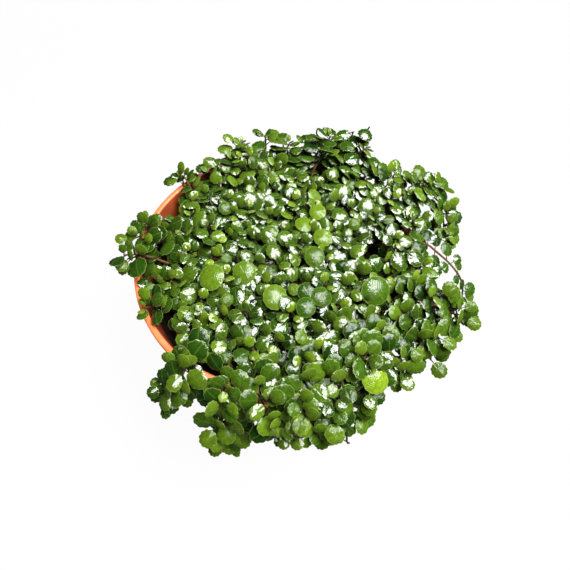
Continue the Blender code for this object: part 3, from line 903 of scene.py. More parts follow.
# The small growth on those shoots: young leaves in the heart of each tip, older pairs lower down,
# and side twigs that fill the mat between the tips. Each grows from a stem near it, or the soil.
CELL = 0.009
BOX_EASE = 0.0018
SLIM_RADIUS = 0.43
SLIM_THICK = 0.07
SLIM_ROOT = 0.14
# Radii at the foot of a main stem, a branch and a side twig, and at the thin end of them all
MAIN_STEM_RADIUS = 0.00062
TWIG_RADIUS = 0.00042
TWIG_THICK = TWIG_RADIUS * 1.1
THIN_END = TWIG_RADIUS * 0.8
SMOOTH_POINTS = 12
TWIG_POINTS = 7
TWIG_NECK = 0.003
TWIG_BEND = 0.0015
TWIG_SIZES = (0.9, 1.1)
PAIR_TURN = 0.3
TIP_LEAVES = ((0.0002, 0.0040, 42),)
EDGE_TIP_LEAVES = ((0.0000, 0.0030, 60), (0.0005, 0.0040, 40))
OLDER_PAIRS = ((0.0070, 0.0072, 4), (0.0104, 0.0070, 0), (0.0138, 0.0066, -4))
EDGE_MORE_PAIRS = (
    (0.0082, 0.0062, 10),
    (0.0152, 0.0066, 4),
    (0.0226, 0.0066, 4),
    (0.0300, 0.0066, 4),
    (0.0340, 0.0066, 4),
    (0.0380, 0.0064, 4),
)
TWIG_PAIRS = ((0.0003, 0.0054, 34), (0.0019, 0.0066, 16), (0.0045, 0.0072, 4), (0.0078, 0.0070, -4))
# How young a leaf is: 1 at a fresh tip, 0 when full grown; below 0 it is darker, for age and as painted shade
# deeper in the mat
MAIN_YOUTH = 0.05
TIP_YOUTHS = (0.1, 0.8)
SECOND_TIP_SHARE = 0.6
OLDER_YOUTHS = (0.0, -0.15)
TWIG_YOUTHS = (0.30, 0.08, -0.08, -0.20)
# The youth below 0 that the deepest mat twig's leaves get, which darkens them as painted shade
DEEPEST_SHADE = -0.45
SIDE_HOLD = 0.25
FRONT_MORE = Vector((0, -0.10, 0))
TWIG_SEED = 23
TWIGS = 640
TWIG_PHASE = 0.71
DEEPEST_TWIG = 0.0054
TWIG_REACH = 0.018
TWIG_TILT = 0.50
TWIG_TRIES = 5
# A twig starts on a stem no nearer to its tip and no higher above it than this, more often on a near
# one, or else on the soil, at this share of the tip's distance from the axis
START_TRIES = 6
START_NEAREST = 0.003
START_ABOVE = 0.002
START_NEAR_RATE = 0.5
SOIL_START = (0.80, 0.98)
# The (size, turn in degrees) that a leaf tries until it fits
LEAF_TRIES = ((1.0, 0), (1.0, 25), (1.0, -25), (1.0, 50), (1.0, -50), (0.84, 0), (0.84, 40), (0.84, -40))
# Side twigs along a shoot at the edge: one every so far, this far from its stem, and none along a
# share of it next to the root
SIDE_FIRST = 0.001
SIDE_STEP = 0.0028
SIDE_REACH = (0.0025, 0.0060)
SIDE_SLIP = 0.003
SIDE_SPREAD = 1.5
SIDE_UPWARD = 0.9
SIDE_ONWARD = 0.2
SIDE_LONGEST = 0.02
SIDE_BARE = 0.40
# Places by the lip where the mat is thin and the pot or the soil shows: (x, y, radius)
BARE_PLACES = (
    (-0.0500, 0.0200, 0.0060),
    (-0.0465, 0.0280, 0.0055),
    (-0.0410, 0.0350, 0.0040),
    (-0.0460, -0.0330, 0.0055),
    (-0.0412, -0.0403, 0.0055),
    (-0.0368, -0.0457, 0.0040),
    (-0.0250, -0.0530, 0.0040),
)
# Single leaves that stand out or cover a gap, each as (x, y, height above the rim) in millimetres,
# length, youth, and how light it is. None makes it an ordinary leaf.
SINGLE_LEAVES = (
    ((-21.5, -19.5, 9.5), 0.0098, 0.12, 1.0),
    ((-13.0, -16.5, 10.0), 0.0088, 0.05, 0.9),
    ((0.3, -27.2, 10.5), 0.0092, 0.10, 0.9),
    ((36.8, -24.6, 9.5), 0.0110, 0.00, 0.6),
    ((34.1, -56.0, 4.5), 0.0096, 0.70, 1.0),
    ((17.9, -1.0, 11.5), 0.0076, 0.40, 0.7),
    ((17.0, 11.7, 11.5), 0.0070, 0.50, 0.8),
    ((11.8, 6.0, 11.5), 0.0072, 0.45, 0.6),
    ((14.5, -9.5, 11.5), 0.0080, 0.25, 0.5),
    ((11.2, -24.6, 10.5), 0.0072, -0.05, 0.35),
    ((16.5, -26.7, 10.5), 0.0074, 0.00, 0.40),
    ((10.1, -30.9, 10.5), 0.0074, 0.00, 0.50),
    ((-39.4, 23.5, 2.0), 0.0084, 0.50, 0.8),
    ((-36.9, 17.2, 3.0), 0.0074, 0.40, 0.8),
    ((47.5, -11.5, 11.0), 0.0072, 0.10, None),
    ((53.8, -10.9, 11.0), 0.0072, 0.10, None),
    ((-1.0, -62.1, 4.5), 0.0072, 0.25, None),
    ((5.2, -61.5, 4.5), 0.0072, 0.35, None),
    ((7.8, -70.3, 1.0), 0.0072, 0.60, None),
    ((19.6, -72.5, -3.0), 0.0070, 0.30, None),
    ((56.4, -8.8, 6.0), 0.0072, 0.05, None),
    ((-14.5, -57.0, 4.0), 0.0072, 0.05, None),
    ((-8.7, -59.5, 4.0), 0.0070, 0.10, None),
    ((-28.0, 46.7, 6.0), 0.0066, 0.05, None),
    ((24.0, 56.0, 17.0), 0.0070, -0.10, None),
    ((30.0, 55.0, 16.0), 0.0072, -0.15, None),
    ((36.0, 52.0, 15.0), 0.0070, -0.10, None),
    ((40.0, 47.0, 13.0), 0.0070, -0.15, None),
    ((31.0, 50.0, 13.0), 0.0072, -0.15, None),
    ((44.0, 43.0, 10.0), 0.0066, -0.05, None),
)
SINGLE_TRIES = 120
SINGLE_LOOSE = 0.0045
SINGLE_TILT = 0.15
BARE_SHOOTS = ("shoot_right_hanging",)


def near_any(point, places):
    return any(math.hypot(point.x - x, point.y - y) < radius for x, y, radius in places)


class Shoot:
    """One shoot as it will show: its node, its stems as (route, thick end, thin end) and its leaves."""

    def __init__(self, node, tone):
        self.node = node
        self.edge = not node.startswith("mat")
        self.hold = SIDE_HOLD if self.edge else MAT_HOLD
        self.tone = tone
        self.stems = []
        self.leaves = []


class Thicket:
    """What grows already, kept in cells, so that a new leaf is tested against its neighbours only."""

    def __init__(self):
        self.slab = unit_leaf(SLIM_RADIUS, SLIM_THICK, False)
        self.off_stem = [Vector((max(point.x, SLIM_ROOT), point.y, point.z)) for point in self.slab[0]]
        self.cells = {}

    def cell(self, point):
        return tuple(math.floor(value / CELL) for value in point)

    def put(self, middle, tree):
        self.cells.setdefault(self.cell(middle), []).append(tree)

    def near(self, middle):
        x, y, z = self.cell(middle)
        steps = (-1, 0, 1)
        return [
            tree
            for i in steps
            for j in steps
            for k in steps
            for tree in self.cells.get((x + i, y + j, z + k), ())
        ]

    def put_leaf(self, place):
        points = [place @ point for point in self.slab[0]]
        self.put(sum(points, Vector()) / len(points), BVHTree.FromPolygons(points, self.slab[1]))

    def put_stem(self, route, radius):
        for start, end in zip(route, route[1:]):
            points, faces = stem_sleeve([start, end], radius)
            self.put((start + end) / 2, BVHTree.FromPolygons(points, faces))

    def leaf_fits(self, place, on_main=False):
        """Whether a leaf is clear of the rest. On a main stem, its stalk may meet that stem."""
        points = [place @ point for point in (self.off_stem if on_main else self.slab[0])]
        middle = sum(points, Vector()) / len(points)
        if near_any(middle, HOLLOWS + BARE_PLACES) or not within_reach(points):
            return False
        if not all(clear_of_pot(point, GAP) for point in points):
            return False
        slab = BVHTree.FromPolygons(points, self.slab[1])
        return not any(slab.overlap(tree) for tree in self.near(middle))

    def stem_fits(self, route, radius):
        """Whether a stem clears the pot, but for its foot, and its upper half, which shows, the rest."""
        for start, end in list(zip(route, route[1:]))[len(route) // 2 :]:
            if not clear_of_pot(end, radius + GAP):
                return False
            points, faces = stem_sleeve([start, end], radius)
            sleeve = BVHTree.FromPolygons(points, faces)
            if any(sleeve.overlap(tree) for tree in self.near((start + end) / 2)):
                return False
        return all(clear_of_pot(point, radius + GAP) for point in route[2:-1])


def within_reach(points):
    """Whether all the points lie in the box that the frame's own growth fills, or just beyond it."""
    low, high = cad_box
    return all(
        low[axis] - BOX_EASE < point[axis] < high[axis] + BOX_EASE for point in points for axis in range(3)
    )


def leafy(thicket, route, pairs, scale, hold, youths, rng, on_main=True):
    """Adds the leaf pairs that fit along one stem, each crossing the last. A twig needs one at its tip."""
    turn = rng.uniform(0, math.pi)
    added = []
    for number, (back, length, lift) in enumerate(pairs):
        root, heading = along_route(route, back * scale)
        if root is None:
            break
        facing = (facing_of(root, heading, hold) + FRONT_MORE).normalized()
        across = across_of(facing, heading, turn + rng.uniform(-PAIR_TURN, PAIR_TURN), number)
        for sign in (1, -1):
            more_lift, more_length = leaf_wobble(rng)
            for size, more_turn in LEAF_TRIES:
                side = Matrix.Rotation(math.radians(more_turn), 3, facing) @ (sign * across)
                tilt = math.radians(lift) + more_lift
                place = leaf_place(root, side, facing, tilt, length * scale * size * more_length)
                if thicket.leaf_fits(place, on_main):
                    added.append((place, youths[min(number, len(youths) - 1)], None))
                    thicket.put_leaf(place)
                    break
        if not (on_main or added):
            break
    return added


def nearest_on(route, point):
    """The point of a route that is nearest to another point."""
    best = route[0]
    for start, end in zip(route, route[1:]):
        along = end - start
        share = max(0.0, min(1.0, (point - start).dot(along) / along.length_squared))
        spot = start + share * along
        if (spot - point).length < (best - point).length:
            best = spot
    return best


def twig_route(thicket, starts, tip, heading, reach, rng):
    """A free way to a tip, from one of the stems near it or from the soil below it, and its shoot."""
    near = [
        (point, shoot)
        for point, shoot in starts
        if START_NEAREST < (point - tip).length < reach and point.z < tip.z + START_ABOVE
    ]
    if not near:
        return None, None
    near.sort(key=lambda pair: (pair[0] - tip).length)
    neck = tip - TWIG_NECK * heading
    for attempt in range(START_TRIES):
        start, shoot = near[min(int(rng.expovariate(START_NEAR_RATE)), len(near) - 1)]
        if attempt % 2 and math.hypot(tip.x, tip.y) < OVER_LIP_RADIUS:
            lean = Vector((tip.x, tip.y)) * rng.uniform(*SOIL_START)
            start = Vector((lean.x, lean.y, soil_height(lean.length) + GAP))
        middle = start.lerp(neck, 0.5) + nudge(TWIG_BEND, rng)
        route = smooth_route([start, middle, neck, tip], TWIG_POINTS)
        if thicket.stem_fits(route, TWIG_RADIUS):
            return route, shoot
    return None, None


def grow_twig(thicket, starts, tip, heading, reach, depth_shade, rng):
    """A side twig to a tip, if there is a free way and room for two leaves or more."""
    route, shoot = twig_route(thicket, starts, tip, heading, reach, rng)
    if not route:
        return False
    # The youth below 0 that a mat twig gets by its depth darkens its leaves: painted shade
    youths = [youth + depth_shade for youth in TWIG_YOUTHS]
    grown = leafy(thicket, route, TWIG_PAIRS, rng.uniform(*TWIG_SIZES), MAT_HOLD, youths, rng, False)
    if len(grown) < 2:
        return False
    shoot.stems.append((route, TWIG_THICK, THIN_END))
    shoot.leaves += grown
    thicket.put_stem(route, TWIG_RADIUS)
    starts += [(point, shoot) for point in route[2:-2]]
    return True


def grow_single_leaf(thicket, starts, middle, length, rng):
    """One leaf near its place, on a side stem of its own, and its shoot."""
    for attempt in range(SINGLE_TRIES):
        loose = SINGLE_LOOSE * (1 + attempt) / SINGLE_TRIES
        spot = middle + nudge(loose, rng) + Vector((0, 0, 0.5 * loose))
        facing = (to_light(spot) + FRONT_MORE + nudge(SINGLE_TILT, rng)).normalized()
        side = facing.cross(polar(rng.uniform(0, math.tau), 1, 0)).normalized()
        root = spot - (PETIOLE + 0.5) * length * side
        place = leaf_place(root, side, facing, 0.0, length)
        if not thicket.leaf_fits(place):
            continue
        route, shoot = twig_route(thicket, starts, root, facing, TWIG_REACH, rng)
        if route:
            shoot.stems.append((route, TWIG_THICK, THIN_END))
            thicket.put_stem(route, TWIG_RADIUS)
            thicket.put_leaf(place)
            return place, shoot
    return None, None


def take_main_shoots(thicket, rng):
    """The frame's own shoots with round stems, and their leaves moved along to those stems."""
    shoots = []
    for node, routes, leaves in grow_main_shoots():
        shoot = Shoot(node, rng.uniform(0, 1))
        for number, route in enumerate(routes):
            smooth = smooth_route(route, SMOOTH_POINTS if number else 2 * SMOOTH_POINTS)
            shoot.stems.append((smooth, TWIG_RADIUS if number else MAIN_STEM_RADIUS, THIN_END))
            thicket.put_stem(smooth, TWIG_RADIUS)
        for place in leaves:
            root = place.translation
            spots = [nearest_on(stem[0], root) for stem in shoot.stems]
            spot = min(spots, key=lambda point: (point - root).length)
            seat = Matrix.Translation(spot - root) @ place
            shoot.leaves.append((seat, MAIN_YOUTH, None))
            thicket.put_leaf(seat)
        shoots.append(shoot)
    return shoots


def grow_side_twigs(thicket, shoot, route, starts, rng):
    """Side twigs along a shoot at the edge, but not along the part next to its root."""
    length = sum((end - start).length for start, end in zip(route, route[1:]))
    back = SIDE_FIRST
    while back < length * (1 - SIDE_BARE):
        back += SIDE_STEP
        spot, along = along_route(route, back)
        if spot is None:
            break
        for attempt in range(TWIG_TRIES):
            facing = facing_of(spot, along, SIDE_HOLD)
            spread = Matrix.Rotation(rng.uniform(-SIDE_SPREAD, SIDE_SPREAD), 3, along) @ facing
            tip = spot + rng.uniform(*SIDE_REACH) * spread + rng.uniform(0.0, SIDE_SLIP) * along
            heading = (spread + SIDE_UPWARD * facing + SIDE_ONWARD * along).normalized()
            own = [(spot - SIDE_FIRST * along, shoot)]
            if grow_twig(thicket, own, tip, heading, SIDE_LONGEST, 0.0, rng):
                starts += own[1:]
                break


def grow_mat_twigs(thicket, starts, rng):
    """Side twigs all over the mat, each deeper down than the one before, its leaves darkened more by painted
    shade.
    """
    for number in range(TWIGS):
        share = rng.random()
        depth = DEEPEST_TWIG * number / TWIGS
        for attempt in range(TWIG_TRIES):
            tip = mat_point(share, number + TWIG_PHASE, rng) - Vector((0, 0, depth))
            if in_hollow(tip):
                break
            tilt = Vector((rng.uniform(-TWIG_TILT, TWIG_TILT), rng.uniform(-TWIG_TILT, TWIG_TILT), 0))
            heading = (to_light(tip) + tilt).normalized()
            # The deeper a twig lies, the darker its leaves: painted shade, passed on as a youth below 0
            if grow_twig(thicket, starts, tip, heading, TWIG_REACH, DEEPEST_SHADE * number / TWIGS, rng):
                break


def grow_everything():
    """All the shoots with their small growth."""
    rng = random.Random(TWIG_SEED)
    thicket = Thicket()
    shoots = take_main_shoots(thicket, rng)
    mains = [(shoot, stem[0]) for shoot in shoots for stem in shoot.stems]
    for shoot, route in mains:
        pairs = EDGE_TIP_LEAVES if shoot.edge else TIP_LEAVES
        fresh = rng.uniform(*TIP_YOUTHS)
        shoot.leaves += leafy(thicket, route, pairs, 1.0, shoot.hold, (fresh, SECOND_TIP_SHARE * fresh), rng)
    starts = [(point, shoot) for shoot, route in mains for point in route[2:-1]]
    for place_mm, length, youth, tone in SINGLE_LEAVES:
        middle = Vector(place_mm) / 1000 + Vector((0, 0, POT_HEIGHT))
        place, shoot = grow_single_leaf(thicket, starts, middle, length, rng)
        if place:
            shoot.leaves.append((place, youth, tone))
    for shoot, route in mains:
        pairs = EDGE_MORE_PAIRS if shoot.edge else OLDER_PAIRS
        shoot.leaves += leafy(thicket, route, pairs, 1.0, shoot.hold, OLDER_YOUTHS, rng)
    for shoot, route in mains:
        if shoot.edge and shoot.node not in BARE_SHOOTS:
            grow_side_twigs(thicket, shoot, route, starts, rng)
    grow_mat_twigs(thicket, starts, rng)
    return shoots


# The leaves and stems: each leaf is small, round and fleshy, with a scalloped margin, a domed and
# quilted upper face that shines or is dull, and a short stalk. The main stems are reddish; the twigs
# and leaf stalks are nearly black, painted shade for the gaps they show in. A few leaf forms are
# modelled one unit long, and every leaf is a copy of one of them.
NOTCH = 0.925
LOBE = 1.012
BLADE_EDGE = 0.12
BLADE_RISE = 0.082
BLADE_CROWN = 0.060
MIDRIB_DIP = 0.014
VEIN_DIP = 0.010
STALK_SIDES = 5
STALK_RADII = (0.044, 0.030)
STALK_DROP = 0.015
STALK_TUCK = 0.05
# Which points of a blade belong to a notch, the crown, the midrib, a vein, the margin and the face
NOTCH_REACH = 0.1
CROWN_REACH = 0.01
MIDRIB_REACH = 0.06
VEIN_START = 0.2
MARGIN_HEIGHT = 0.001
FACE_HEIGHT = 0.01
LEAF_SMOOTH = math.radians(50)
YOUNG_LENGTH = 0.0038
# How light a leaf is, by its shoot and by chance, and the share of leaves that shine little
TONE_BASE = 0.31
TONE_BY_SHOOT = 0.22
TONE_SPREAD = 0.26
YOUTH_SPREAD = 0.08
EDGE_DULL = 0.65
MAT_DULL = 0.15
# A leaf that would touch the pot is made smaller, and left out if that is not enough
AT_POT_SIZES = (1.0, 0.88, 0.76, 0.64)
LEAF_VARIETY = (0.88, 1.04)
# Each form as (lobes, length, width, droop towards the tip, cupping across), as shares of one unit.
# The large leaf adds its own notch, which is shallower.
GROWN_FORMS = (
    (11, 1.00, 1.00, 0.16, 0.12),
    (9, 1.06, 0.94, 0.24, -0.06),
    (11, 0.96, 1.06, 0.10, 0.26),
    (9, 1.04, 0.90, 0.34, 0.18),
    (11, 0.98, 1.00, -0.04, -0.14),
    (11, 0.94, 1.00, 0.20, 0.36),
)
BIG_FORMS = ((13, 0.98, 1.04, 0.10, 0.06, 0.972),)
YOUNG_FORMS = ((5, 1.08, 0.80, -0.20, -0.20), (5, 1.02, 0.92, 0.05, 0.10))
# The skins that the faces of a leaf wear
FACE_SKIN, BACK_SKIN, STALK_SKIN, DULL_SKIN = range(4)


class LeafForm:
    """A modelled leaf: points, faces, each face's skin, each point laid flat, and 1 at the margin."""

    def __init__(self, lobes, length, width, droop, cupping, notch=NOTCH):
        bpy.ops.object.select_all(action="DESELECT")
        bpy.ops.mesh.primitive_circle_add(
            vertices=3 * lobes, radius=0.5, fill_type="NGON", rotation=(0, 0, QUARTER)
        )
        blade = bpy.context.object
        bpy.ops.object.transform_apply(rotation=True)
        step = math.tau / lobes

        def in_notch(co):
            return abs((math.atan2(co.y, co.x) / step) % 1 - 0.5) < NOTCH_REACH

        def on_vein(co):
            at_edge = FACE_HEIGHT < co.z < BLADE_RISE + MARGIN_HEIGHT
            return at_edge and co.length > VEIN_START and in_notch(co)

        bpy.ops.object.mode_set(mode="EDIT")
        pick(blade, in_notch)
        bpy.ops.transform.resize(value=(notch, notch, 1), center_override=(0, 0, 0))
        pick(blade, lambda co: not in_notch(co))
        bpy.ops.transform.resize(value=(LOBE, LOBE, 1), center_override=(0, 0, 0))
        bpy.ops.mesh.select_mode(type="FACE")
        bpy.ops.mesh.select_all(action="SELECT")
        bpy.ops.mesh.inset(thickness=BLADE_EDGE, depth=0)
        bpy.ops.transform.translate(value=(0, 0, BLADE_RISE))
        bpy.ops.mesh.poke()
        pick(blade, lambda co: math.hypot(co.x, co.y) < CROWN_REACH)
        bpy.ops.transform.translate(value=(0, 0, BLADE_CROWN))
        pick(blade, lambda co: co.z > FACE_HEIGHT and abs(co.y) < MIDRIB_REACH)
        bpy.ops.transform.translate(value=(0, 0, -MIDRIB_DIP))
        pick(blade, on_vein)
        bpy.ops.transform.translate(value=(0, 0, -VEIN_DIP))
        pick(blade, lambda co: co.z < MARGIN_HEIGHT)
        bpy.ops.mesh.edge_face_add()
        bpy.ops.mesh.select_all(action="SELECT")
        bpy.ops.mesh.normals_make_consistent(inside=False)
        bpy.ops.transform.resize(value=(length, width, 1), center_override=(0, 0, 0))
        bpy.ops.transform.translate(value=(PETIOLE + 0.5 * length, 0, 0))
        bpy.ops.object.mode_set(mode="OBJECT")
        middle = PETIOLE + 0.5 * length
        self.flat = [(vert.co.x - PETIOLE, vert.co.y + 0.5) for vert in blade.data.vertices]
        self.margin = [1.0 if vert.co.z < MARGIN_HEIGHT else 0.0 for vert in blade.data.vertices]
        self.skins = [FACE_SKIN if face.normal.z > 0 else BACK_SKIN for face in blade.data.polygons]
        for vert in blade.data.vertices:
            ahead = vert.co.x - middle
            vert.co.z -= droop * ahead * abs(ahead) + cupping * vert.co.y**2 + STALK_DROP
        self.points, self.faces = read_form(blade)
        bpy.data.objects.remove(blade)
        reach = (PETIOLE + ROOT_REACH + STALK_TUCK) / 2
        bpy.ops.mesh.primitive_cone_add(
            vertices=STALK_SIDES,
            radius1=STALK_RADII[0],
            radius2=STALK_RADII[1],
            depth=2 * reach,
            location=(reach - ROOT_REACH, 0, -STALK_DROP),
            rotation=(0, QUARTER, 0),
        )
        stalk = bpy.context.object
        bpy.ops.object.transform_apply(location=True, rotation=True)
        points, faces = read_form(stalk)
        start = len(self.points)
        self.points += points
        self.faces += [tuple(start + corner for corner in face) for face in faces]
        self.skins += [STALK_SKIN] * len(faces)
        self.flat += [(0.0, 0.5)] * len(points)
        self.margin += [0.0] * len(points)
        bpy.data.objects.remove(stalk)


def leaf_greens(tree, greens, young):
    """A leaf's colour: by how light and how young it is, mottled, paler along the midrib, and paler at the
    margin, as its own pale edge and a painted highlight there.
    """
    tone, youth, edge = [
        add_node(tree, "ShaderNodeAttribute", attribute_name=attribute).outputs["Fac"]
        for attribute in ("tone", "youth", "margin")
    ]
    colour = blend(tree, youth, ramp(tree, tone, *greens), young)
    mottle = level(tree, grain(tree, 900), 0.75, 1.25, start=0.3, end=0.7)
    colour = blend(tree, 1.0, colour, mottle, "MULTIPLY")
    flat = add_node(tree, "ShaderNodeUVMap", uv_map="flat")
    split = add_node(tree, "ShaderNodeSeparateXYZ")
    tree.links.new(flat.outputs["UV"], split.inputs["Vector"])
    along = split.outputs["X"]
    across = sums(tree, "ABSOLUTE", sums(tree, "SUBTRACT", split.outputs["Y"], 0.5), 0.0)
    midrib = level(tree, across, 0.45, 0.0, start=0.008, end=0.034)
    colour = blend(tree, midrib, colour, (0.050, 0.085, 0.010))
    # The pale margin is partly the leaf's own pale edge and partly a painted highlight along it
    margin = level(tree, edge, 0.0, 0.60, start=0.75, end=1.0)
    return blend(tree, margin, colour, (0.150, 0.200, 0.055)), along, across


def soft_flesh(shader):
    """Lets a little light through a leaf."""
    shader.inputs["Subsurface Weight"].default_value = 0.08
    shader.inputs["Subsurface Radius"].default_value = (0.5, 1.0, 0.15)
    shader.inputs["Subsurface Scale"].default_value = 0.0006


def leaf_face(name, coat):
    """The upper skin: waxy, with veins that fan out from the midrib and a finely quilted surface."""
    made, tree, shader = node_material(name, 0.3)
    greens = (
        (0.0, (0.0042, 0.016, 0.0009)),
        (0.5, (0.0125, 0.035, 0.0015)),
        (1.0, (0.043, 0.078, 0.0035)),
    )
    colour, along, across = leaf_greens(tree, greens, (0.085, 0.135, 0.0060))
    tree.links.new(colour, shader.inputs["Base Color"])
    dull = level(tree, grain(tree, 1500, detail=2), 0.50, 0.68, start=0.3, end=0.7)
    tree.links.new(dull, shader.inputs["Roughness"])
    shader.inputs["Specular IOR Level"].default_value = 0.02
    shader.inputs["Coat Weight"].default_value = coat
    shader.inputs["Coat Roughness"].default_value = 0.012
    shader.inputs["Coat IOR"].default_value = 1.65
    fan = sums(tree, "SUBTRACT", sums(tree, "MULTIPLY", along, 34.0), sums(tree, "MULTIPLY", across, 30.0))
    veins = sums(tree, "ABSOLUTE", sums(tree, "SINE", fan, 0.0), 0.0)
    place = add_node(tree, "ShaderNodeTexCoord")
    quilt = add_node(tree, "ShaderNodeTexVoronoi", feature="SMOOTH_F1", Scale=1300.0, Smoothness=0.5)
    tree.links.new(place.outputs["Object"], quilt.inputs["Vector"])
    fine = sums(tree, "SUBTRACT", grain(tree, 1900, detail=1, roughness=0.5), quilt.outputs["Distance"])
    height = sums(tree, "ADD", sums(tree, "MULTIPLY", veins, 0.5), sums(tree, "MULTIPLY", fine, 0.58))
    relief(tree, shader, height, 0.00010)
    bump = shader.inputs["Normal"].links[0].from_socket
    tree.links.new(bump, shader.inputs["Coat Normal"])
    soft_flesh(shader)
    return made


def leaf_back(name):
    """The lower skin: paler and dull."""
    made, tree, shader = node_material(name, 0.5)
    greens = ((0.0, (0.016, 0.028, 0.004)), (1.0, (0.042, 0.064, 0.009)))
    colour = leaf_greens(tree, greens, (0.090, 0.130, 0.014))[0]
    tree.links.new(colour, shader.inputs["Base Color"])
    relief(tree, shader, grain(tree, 1500, detail=2), 0.00008)
    soft_flesh(shader)
    return made


def stem_skin(name, dark, middle, green):
    """A stem's skin, in three tints that run into each other."""
    made, tree, shader = node_material(name, 0.60)
    colour = ramp(tree, grain(tree, 160), (0.35, dark), (0.50, middle), (0.66, green))
    tree.links.new(colour, shader.inputs["Base Color"])
    relief(tree, shader, grain(tree, 2200), 0.00012)
    shader.inputs["Specular IOR Level"].default_value = 0.05
    return made


grown_forms = [LeafForm(*form) for form in GROWN_FORMS]
young_forms = [LeafForm(*form) for form in YOUNG_FORMS]
big_forms = [LeafForm(*form) for form in BIG_FORMS]
main_stem = stem_skin("main_stem", (0.030, 0.011, 0.006), (0.072, 0.030, 0.013), (0.036, 0.042, 0.010))
# The twigs and leaf stalks are nearly black: painted shade for the gaps between the leaves where they show
side_stem_painted_shade = stem_skin("side_stem_painted_shade", (0.007, 0.006, 0.002), (0.010, 0.012, 0.003), (0.012, 0.022, 0.004))
# In the order of FACE_SKIN, BACK_SKIN, STALK_SKIN and DULL_SKIN
leaf_skins = (
    leaf_face("leaf_face", coat=1.0),
    leaf_back("leaf_back"),
    side_stem_painted_shade,
    leaf_face("dull_leaf_face", coat=0.3),
)


def leaves_piece(name, shoot, rng):
    """All the leaves of one shoot, in one mesh."""
    points = []
    faces = []
    skins = []
    flats = []
    margins = []
    tones = []
    youths = []
    for place, youth, tone in shoot.leaves:
        forms = young_forms if place.to_scale().x < YOUNG_LENGTH else grown_forms
        form = rng.choice(forms if tone is None else big_forms)
        place = place @ Matrix.Scale(rng.uniform(*LEAF_VARIETY), 4) if tone is None else place
        dull = tone is not None or rng.random() < (EDGE_DULL if shoot.edge else MAT_DULL)
        # A youth below 0 makes the leaf darker: for its age, and as painted shade for leaves deep in the mat
        light = TONE_BASE + TONE_BY_SHOOT * shoot.tone + rng.gauss(0, TONE_SPREAD) + min(0.0, youth)
        shown_youth = max(0.0, min(1.0, youth + rng.gauss(0, YOUTH_SPREAD)))
        for size in AT_POT_SIZES:
            placed = [place @ (size * point) for point in form.points]
            if all(clear_of_pot(point, 0.0) for point in placed):
                break
        else:
            continue
        start = len(points)
        points += placed
        faces += [[start + corner for corner in face] for face in form.faces]
        skins += [DULL_SKIN if dull and skin == FACE_SKIN else skin for skin in form.skins]
        flats += form.flat
        margins += form.margin
        tones += [max(0.0, min(1.0, light)) if tone is None else tone] * len(form.faces)
        youths += [shown_youth] * len(form.faces)
    mesh = bpy.data.meshes.new(name)
    mesh.from_pydata(points, [], faces)
    for skin in leaf_skins:
        mesh.materials.append(skin)
    mesh.polygons.foreach_set("material_index", skins)
    mesh.polygons.foreach_set("use_smooth", [True] * len(faces))
    laid = mesh.uv_layers.new(name="flat")
    laid.uv.foreach_set("vector", [value for loop in mesh.loops for value in flats[loop.vertex_index]])
    for attribute, domain, values in (
        ("tone", "FACE", tones),
        ("youth", "FACE", youths),
        ("margin", "POINT", margins),
    ):
        mesh.attributes.new(attribute, "FLOAT", domain).data.foreach_set("value", values)
    mesh.set_sharp_from_angle(angle=LEAF_SMOOTH)
    return new_object(name, mesh)


def stems_piece(name, shoot):
    """All the stems of one shoot, as round tapered tubes."""
    curve = bpy.data.curves.new(name, "CURVE")
    curve.dimensions = "3D"
    curve.bevel_depth = 1.0
    curve.bevel_resolution = 1
    curve.use_fill_caps = True
    curve.materials.append(main_stem)
    curve.materials.append(side_stem_painted_shade)
    for route, thick, thin in shoot.stems:
        spline = curve.splines.new("POLY")
        spline.material_index = 0 if thick > TWIG_THICK else 1
        spline.points.add(len(route) - 1)
        for number, (point, spot) in enumerate(zip(spline.points, route)):
            point.co = (*spot, 1)
            point.radius = thick + (thin - thick) * number / (len(route) - 1)
    piece = new_object(name, curve)
    take_up(piece)
    bpy.ops.object.convert(target="MESH")
    bpy.ops.object.mode_set(mode="EDIT")
    bpy.ops.mesh.select_all(action="SELECT")
    bpy.ops.mesh.remove_doubles(threshold=TINY)
    bpy.ops.mesh.normals_make_consistent(inside=False)
    bpy.ops.object.mode_set(mode="OBJECT")
    bpy.ops.object.shade_smooth_by_angle(angle=LEAF_SMOOTH)
    return piece


for shoot in grow_everything():
    rng = random.Random(shoot.node + " leaves")
    stems = stems_piece(shoot.node + "_stems", shoot)
    leaves = leaves_piece(shoot.node + "_leaves", shoot, rng)
    for piece in (stems, leaves):
        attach(piece, "root")
        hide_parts(shoot.node)

# The studio: a plain white floor, a softbox up at the right, four weak lights low around the pot
# that leave no glint on the leaves, and a camera that looks down on the plant from close by.
FLOOR_REACH = 3.0
FLOOR_DROP = 0.0002
# How bright the floor and the sky are to other rays and to the camera, and how much more the sky
# gives to diffuse rays, which fills the shade
FLOOR_GLOW = (0.04, 0.965)
SKY_GLOW = (0.025, 0.97)
SKY_FILL = 0.055
SOFTBOX_PLACE = Vector((0.22, -0.06, 0.63))
SOFTBOX_TARGET = Vector((0, 0, 0.08))
SOFTBOX_SIZE = (0.34, 0.34)
SOFTBOX_POWER = 20.0
FILL_LIGHTS = 4
FILL_TURN = math.radians(20)
FILL_RADIUS = 0.60
FILL_HEIGHT = 0.07
FILL_TARGET = Vector((0, 0, 0.05))
FILL_SIZE = (0.40, 0.12)
FILL_POWER = 1.9
CAMERA_PLACE = (0.0, -0.1074, 0.2412)
CAMERA_TILT = math.radians(34)
CAMERA_LENS = 28.61
CAMERA_SENSOR = 36.0
CAMERA_NEAR = 0.01
CAMERA_SHIFT = (0.0135, -0.0563)

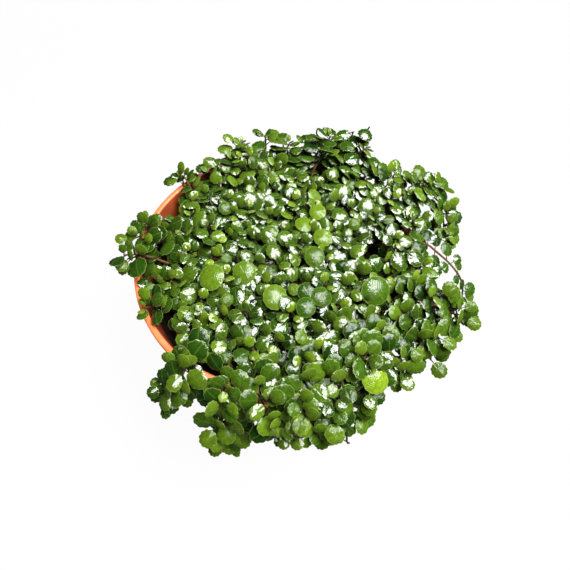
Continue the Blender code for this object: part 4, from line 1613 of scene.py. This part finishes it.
bpy.ops.object.select_all(action="DESELECT")
bpy.ops.mesh.primitive_plane_add(size=FLOOR_REACH, location=(0, 0, -FLOOR_DROP))
floor = bpy.context.object
floor.name = "studio_floor"
paper, tree, shader = node_material("white_paper", 0.9)
shader.inputs["Base Color"].default_value = (0.012, 0.012, 0.012, 1)
shader.inputs["Specular IOR Level"].default_value = 0.0
shader.inputs["Emission Color"].default_value = (1, 1, 1, 1)
rays = add_node(tree, "ShaderNodeLightPath")
glow = level(tree, rays.outputs["Is Camera Ray"], *FLOOR_GLOW)
tree.links.new(glow, shader.inputs["Emission Strength"])
floor.data.materials.append(paper)

world = bpy.data.worlds.new("studio")
bpy.context.scene.world = world
world.use_nodes = True
sky = world.node_tree
background = sky.nodes["Background"]
background.inputs["Color"].default_value = (1, 1, 1, 1)
sky_rays = add_node(sky, "ShaderNodeLightPath")
seen = level(sky, sky_rays.outputs["Is Camera Ray"], *SKY_GLOW)
fill = level(sky, sky_rays.outputs["Is Diffuse Ray"], 0.0, SKY_FILL)
sky.links.new(sums(sky, "ADD", seen, fill), background.inputs["Strength"])


def soft_light(name, place, target, size, power):
    """A soft rectangular light that faces its target."""
    lamp = bpy.data.lights.new(name, "AREA")
    lamp.shape = "RECTANGLE"
    lamp.size, lamp.size_y = size
    lamp.energy = power
    light = new_object(name, lamp)
    light.location = place
    light.rotation_euler = (target - place).to_track_quat("-Z", "Y").to_euler()
    light.visible_camera = False
    return light


soft_light("softbox", SOFTBOX_PLACE, SOFTBOX_TARGET, SOFTBOX_SIZE, SOFTBOX_POWER)
for number in range(FILL_LIGHTS):
    place = polar(FILL_TURN + math.tau * number / FILL_LIGHTS, FILL_RADIUS, FILL_HEIGHT)
    light = soft_light(f"fill_{number + 1}", place, FILL_TARGET, FILL_SIZE, FILL_POWER)
    light.visible_glossy = False

lens = bpy.data.cameras.new("camera")
lens.lens = CAMERA_LENS
lens.sensor_width = CAMERA_SENSOR
lens.shift_x, lens.shift_y = CAMERA_SHIFT
lens.clip_start = CAMERA_NEAR
camera = new_object("camera", lens)
camera.location = CAMERA_PLACE
camera.rotation_euler = (CAMERA_TILT, 0, 0)
bpy.context.scene.camera = camera
bpy.context.scene.view_settings.view_transform = "Standard"
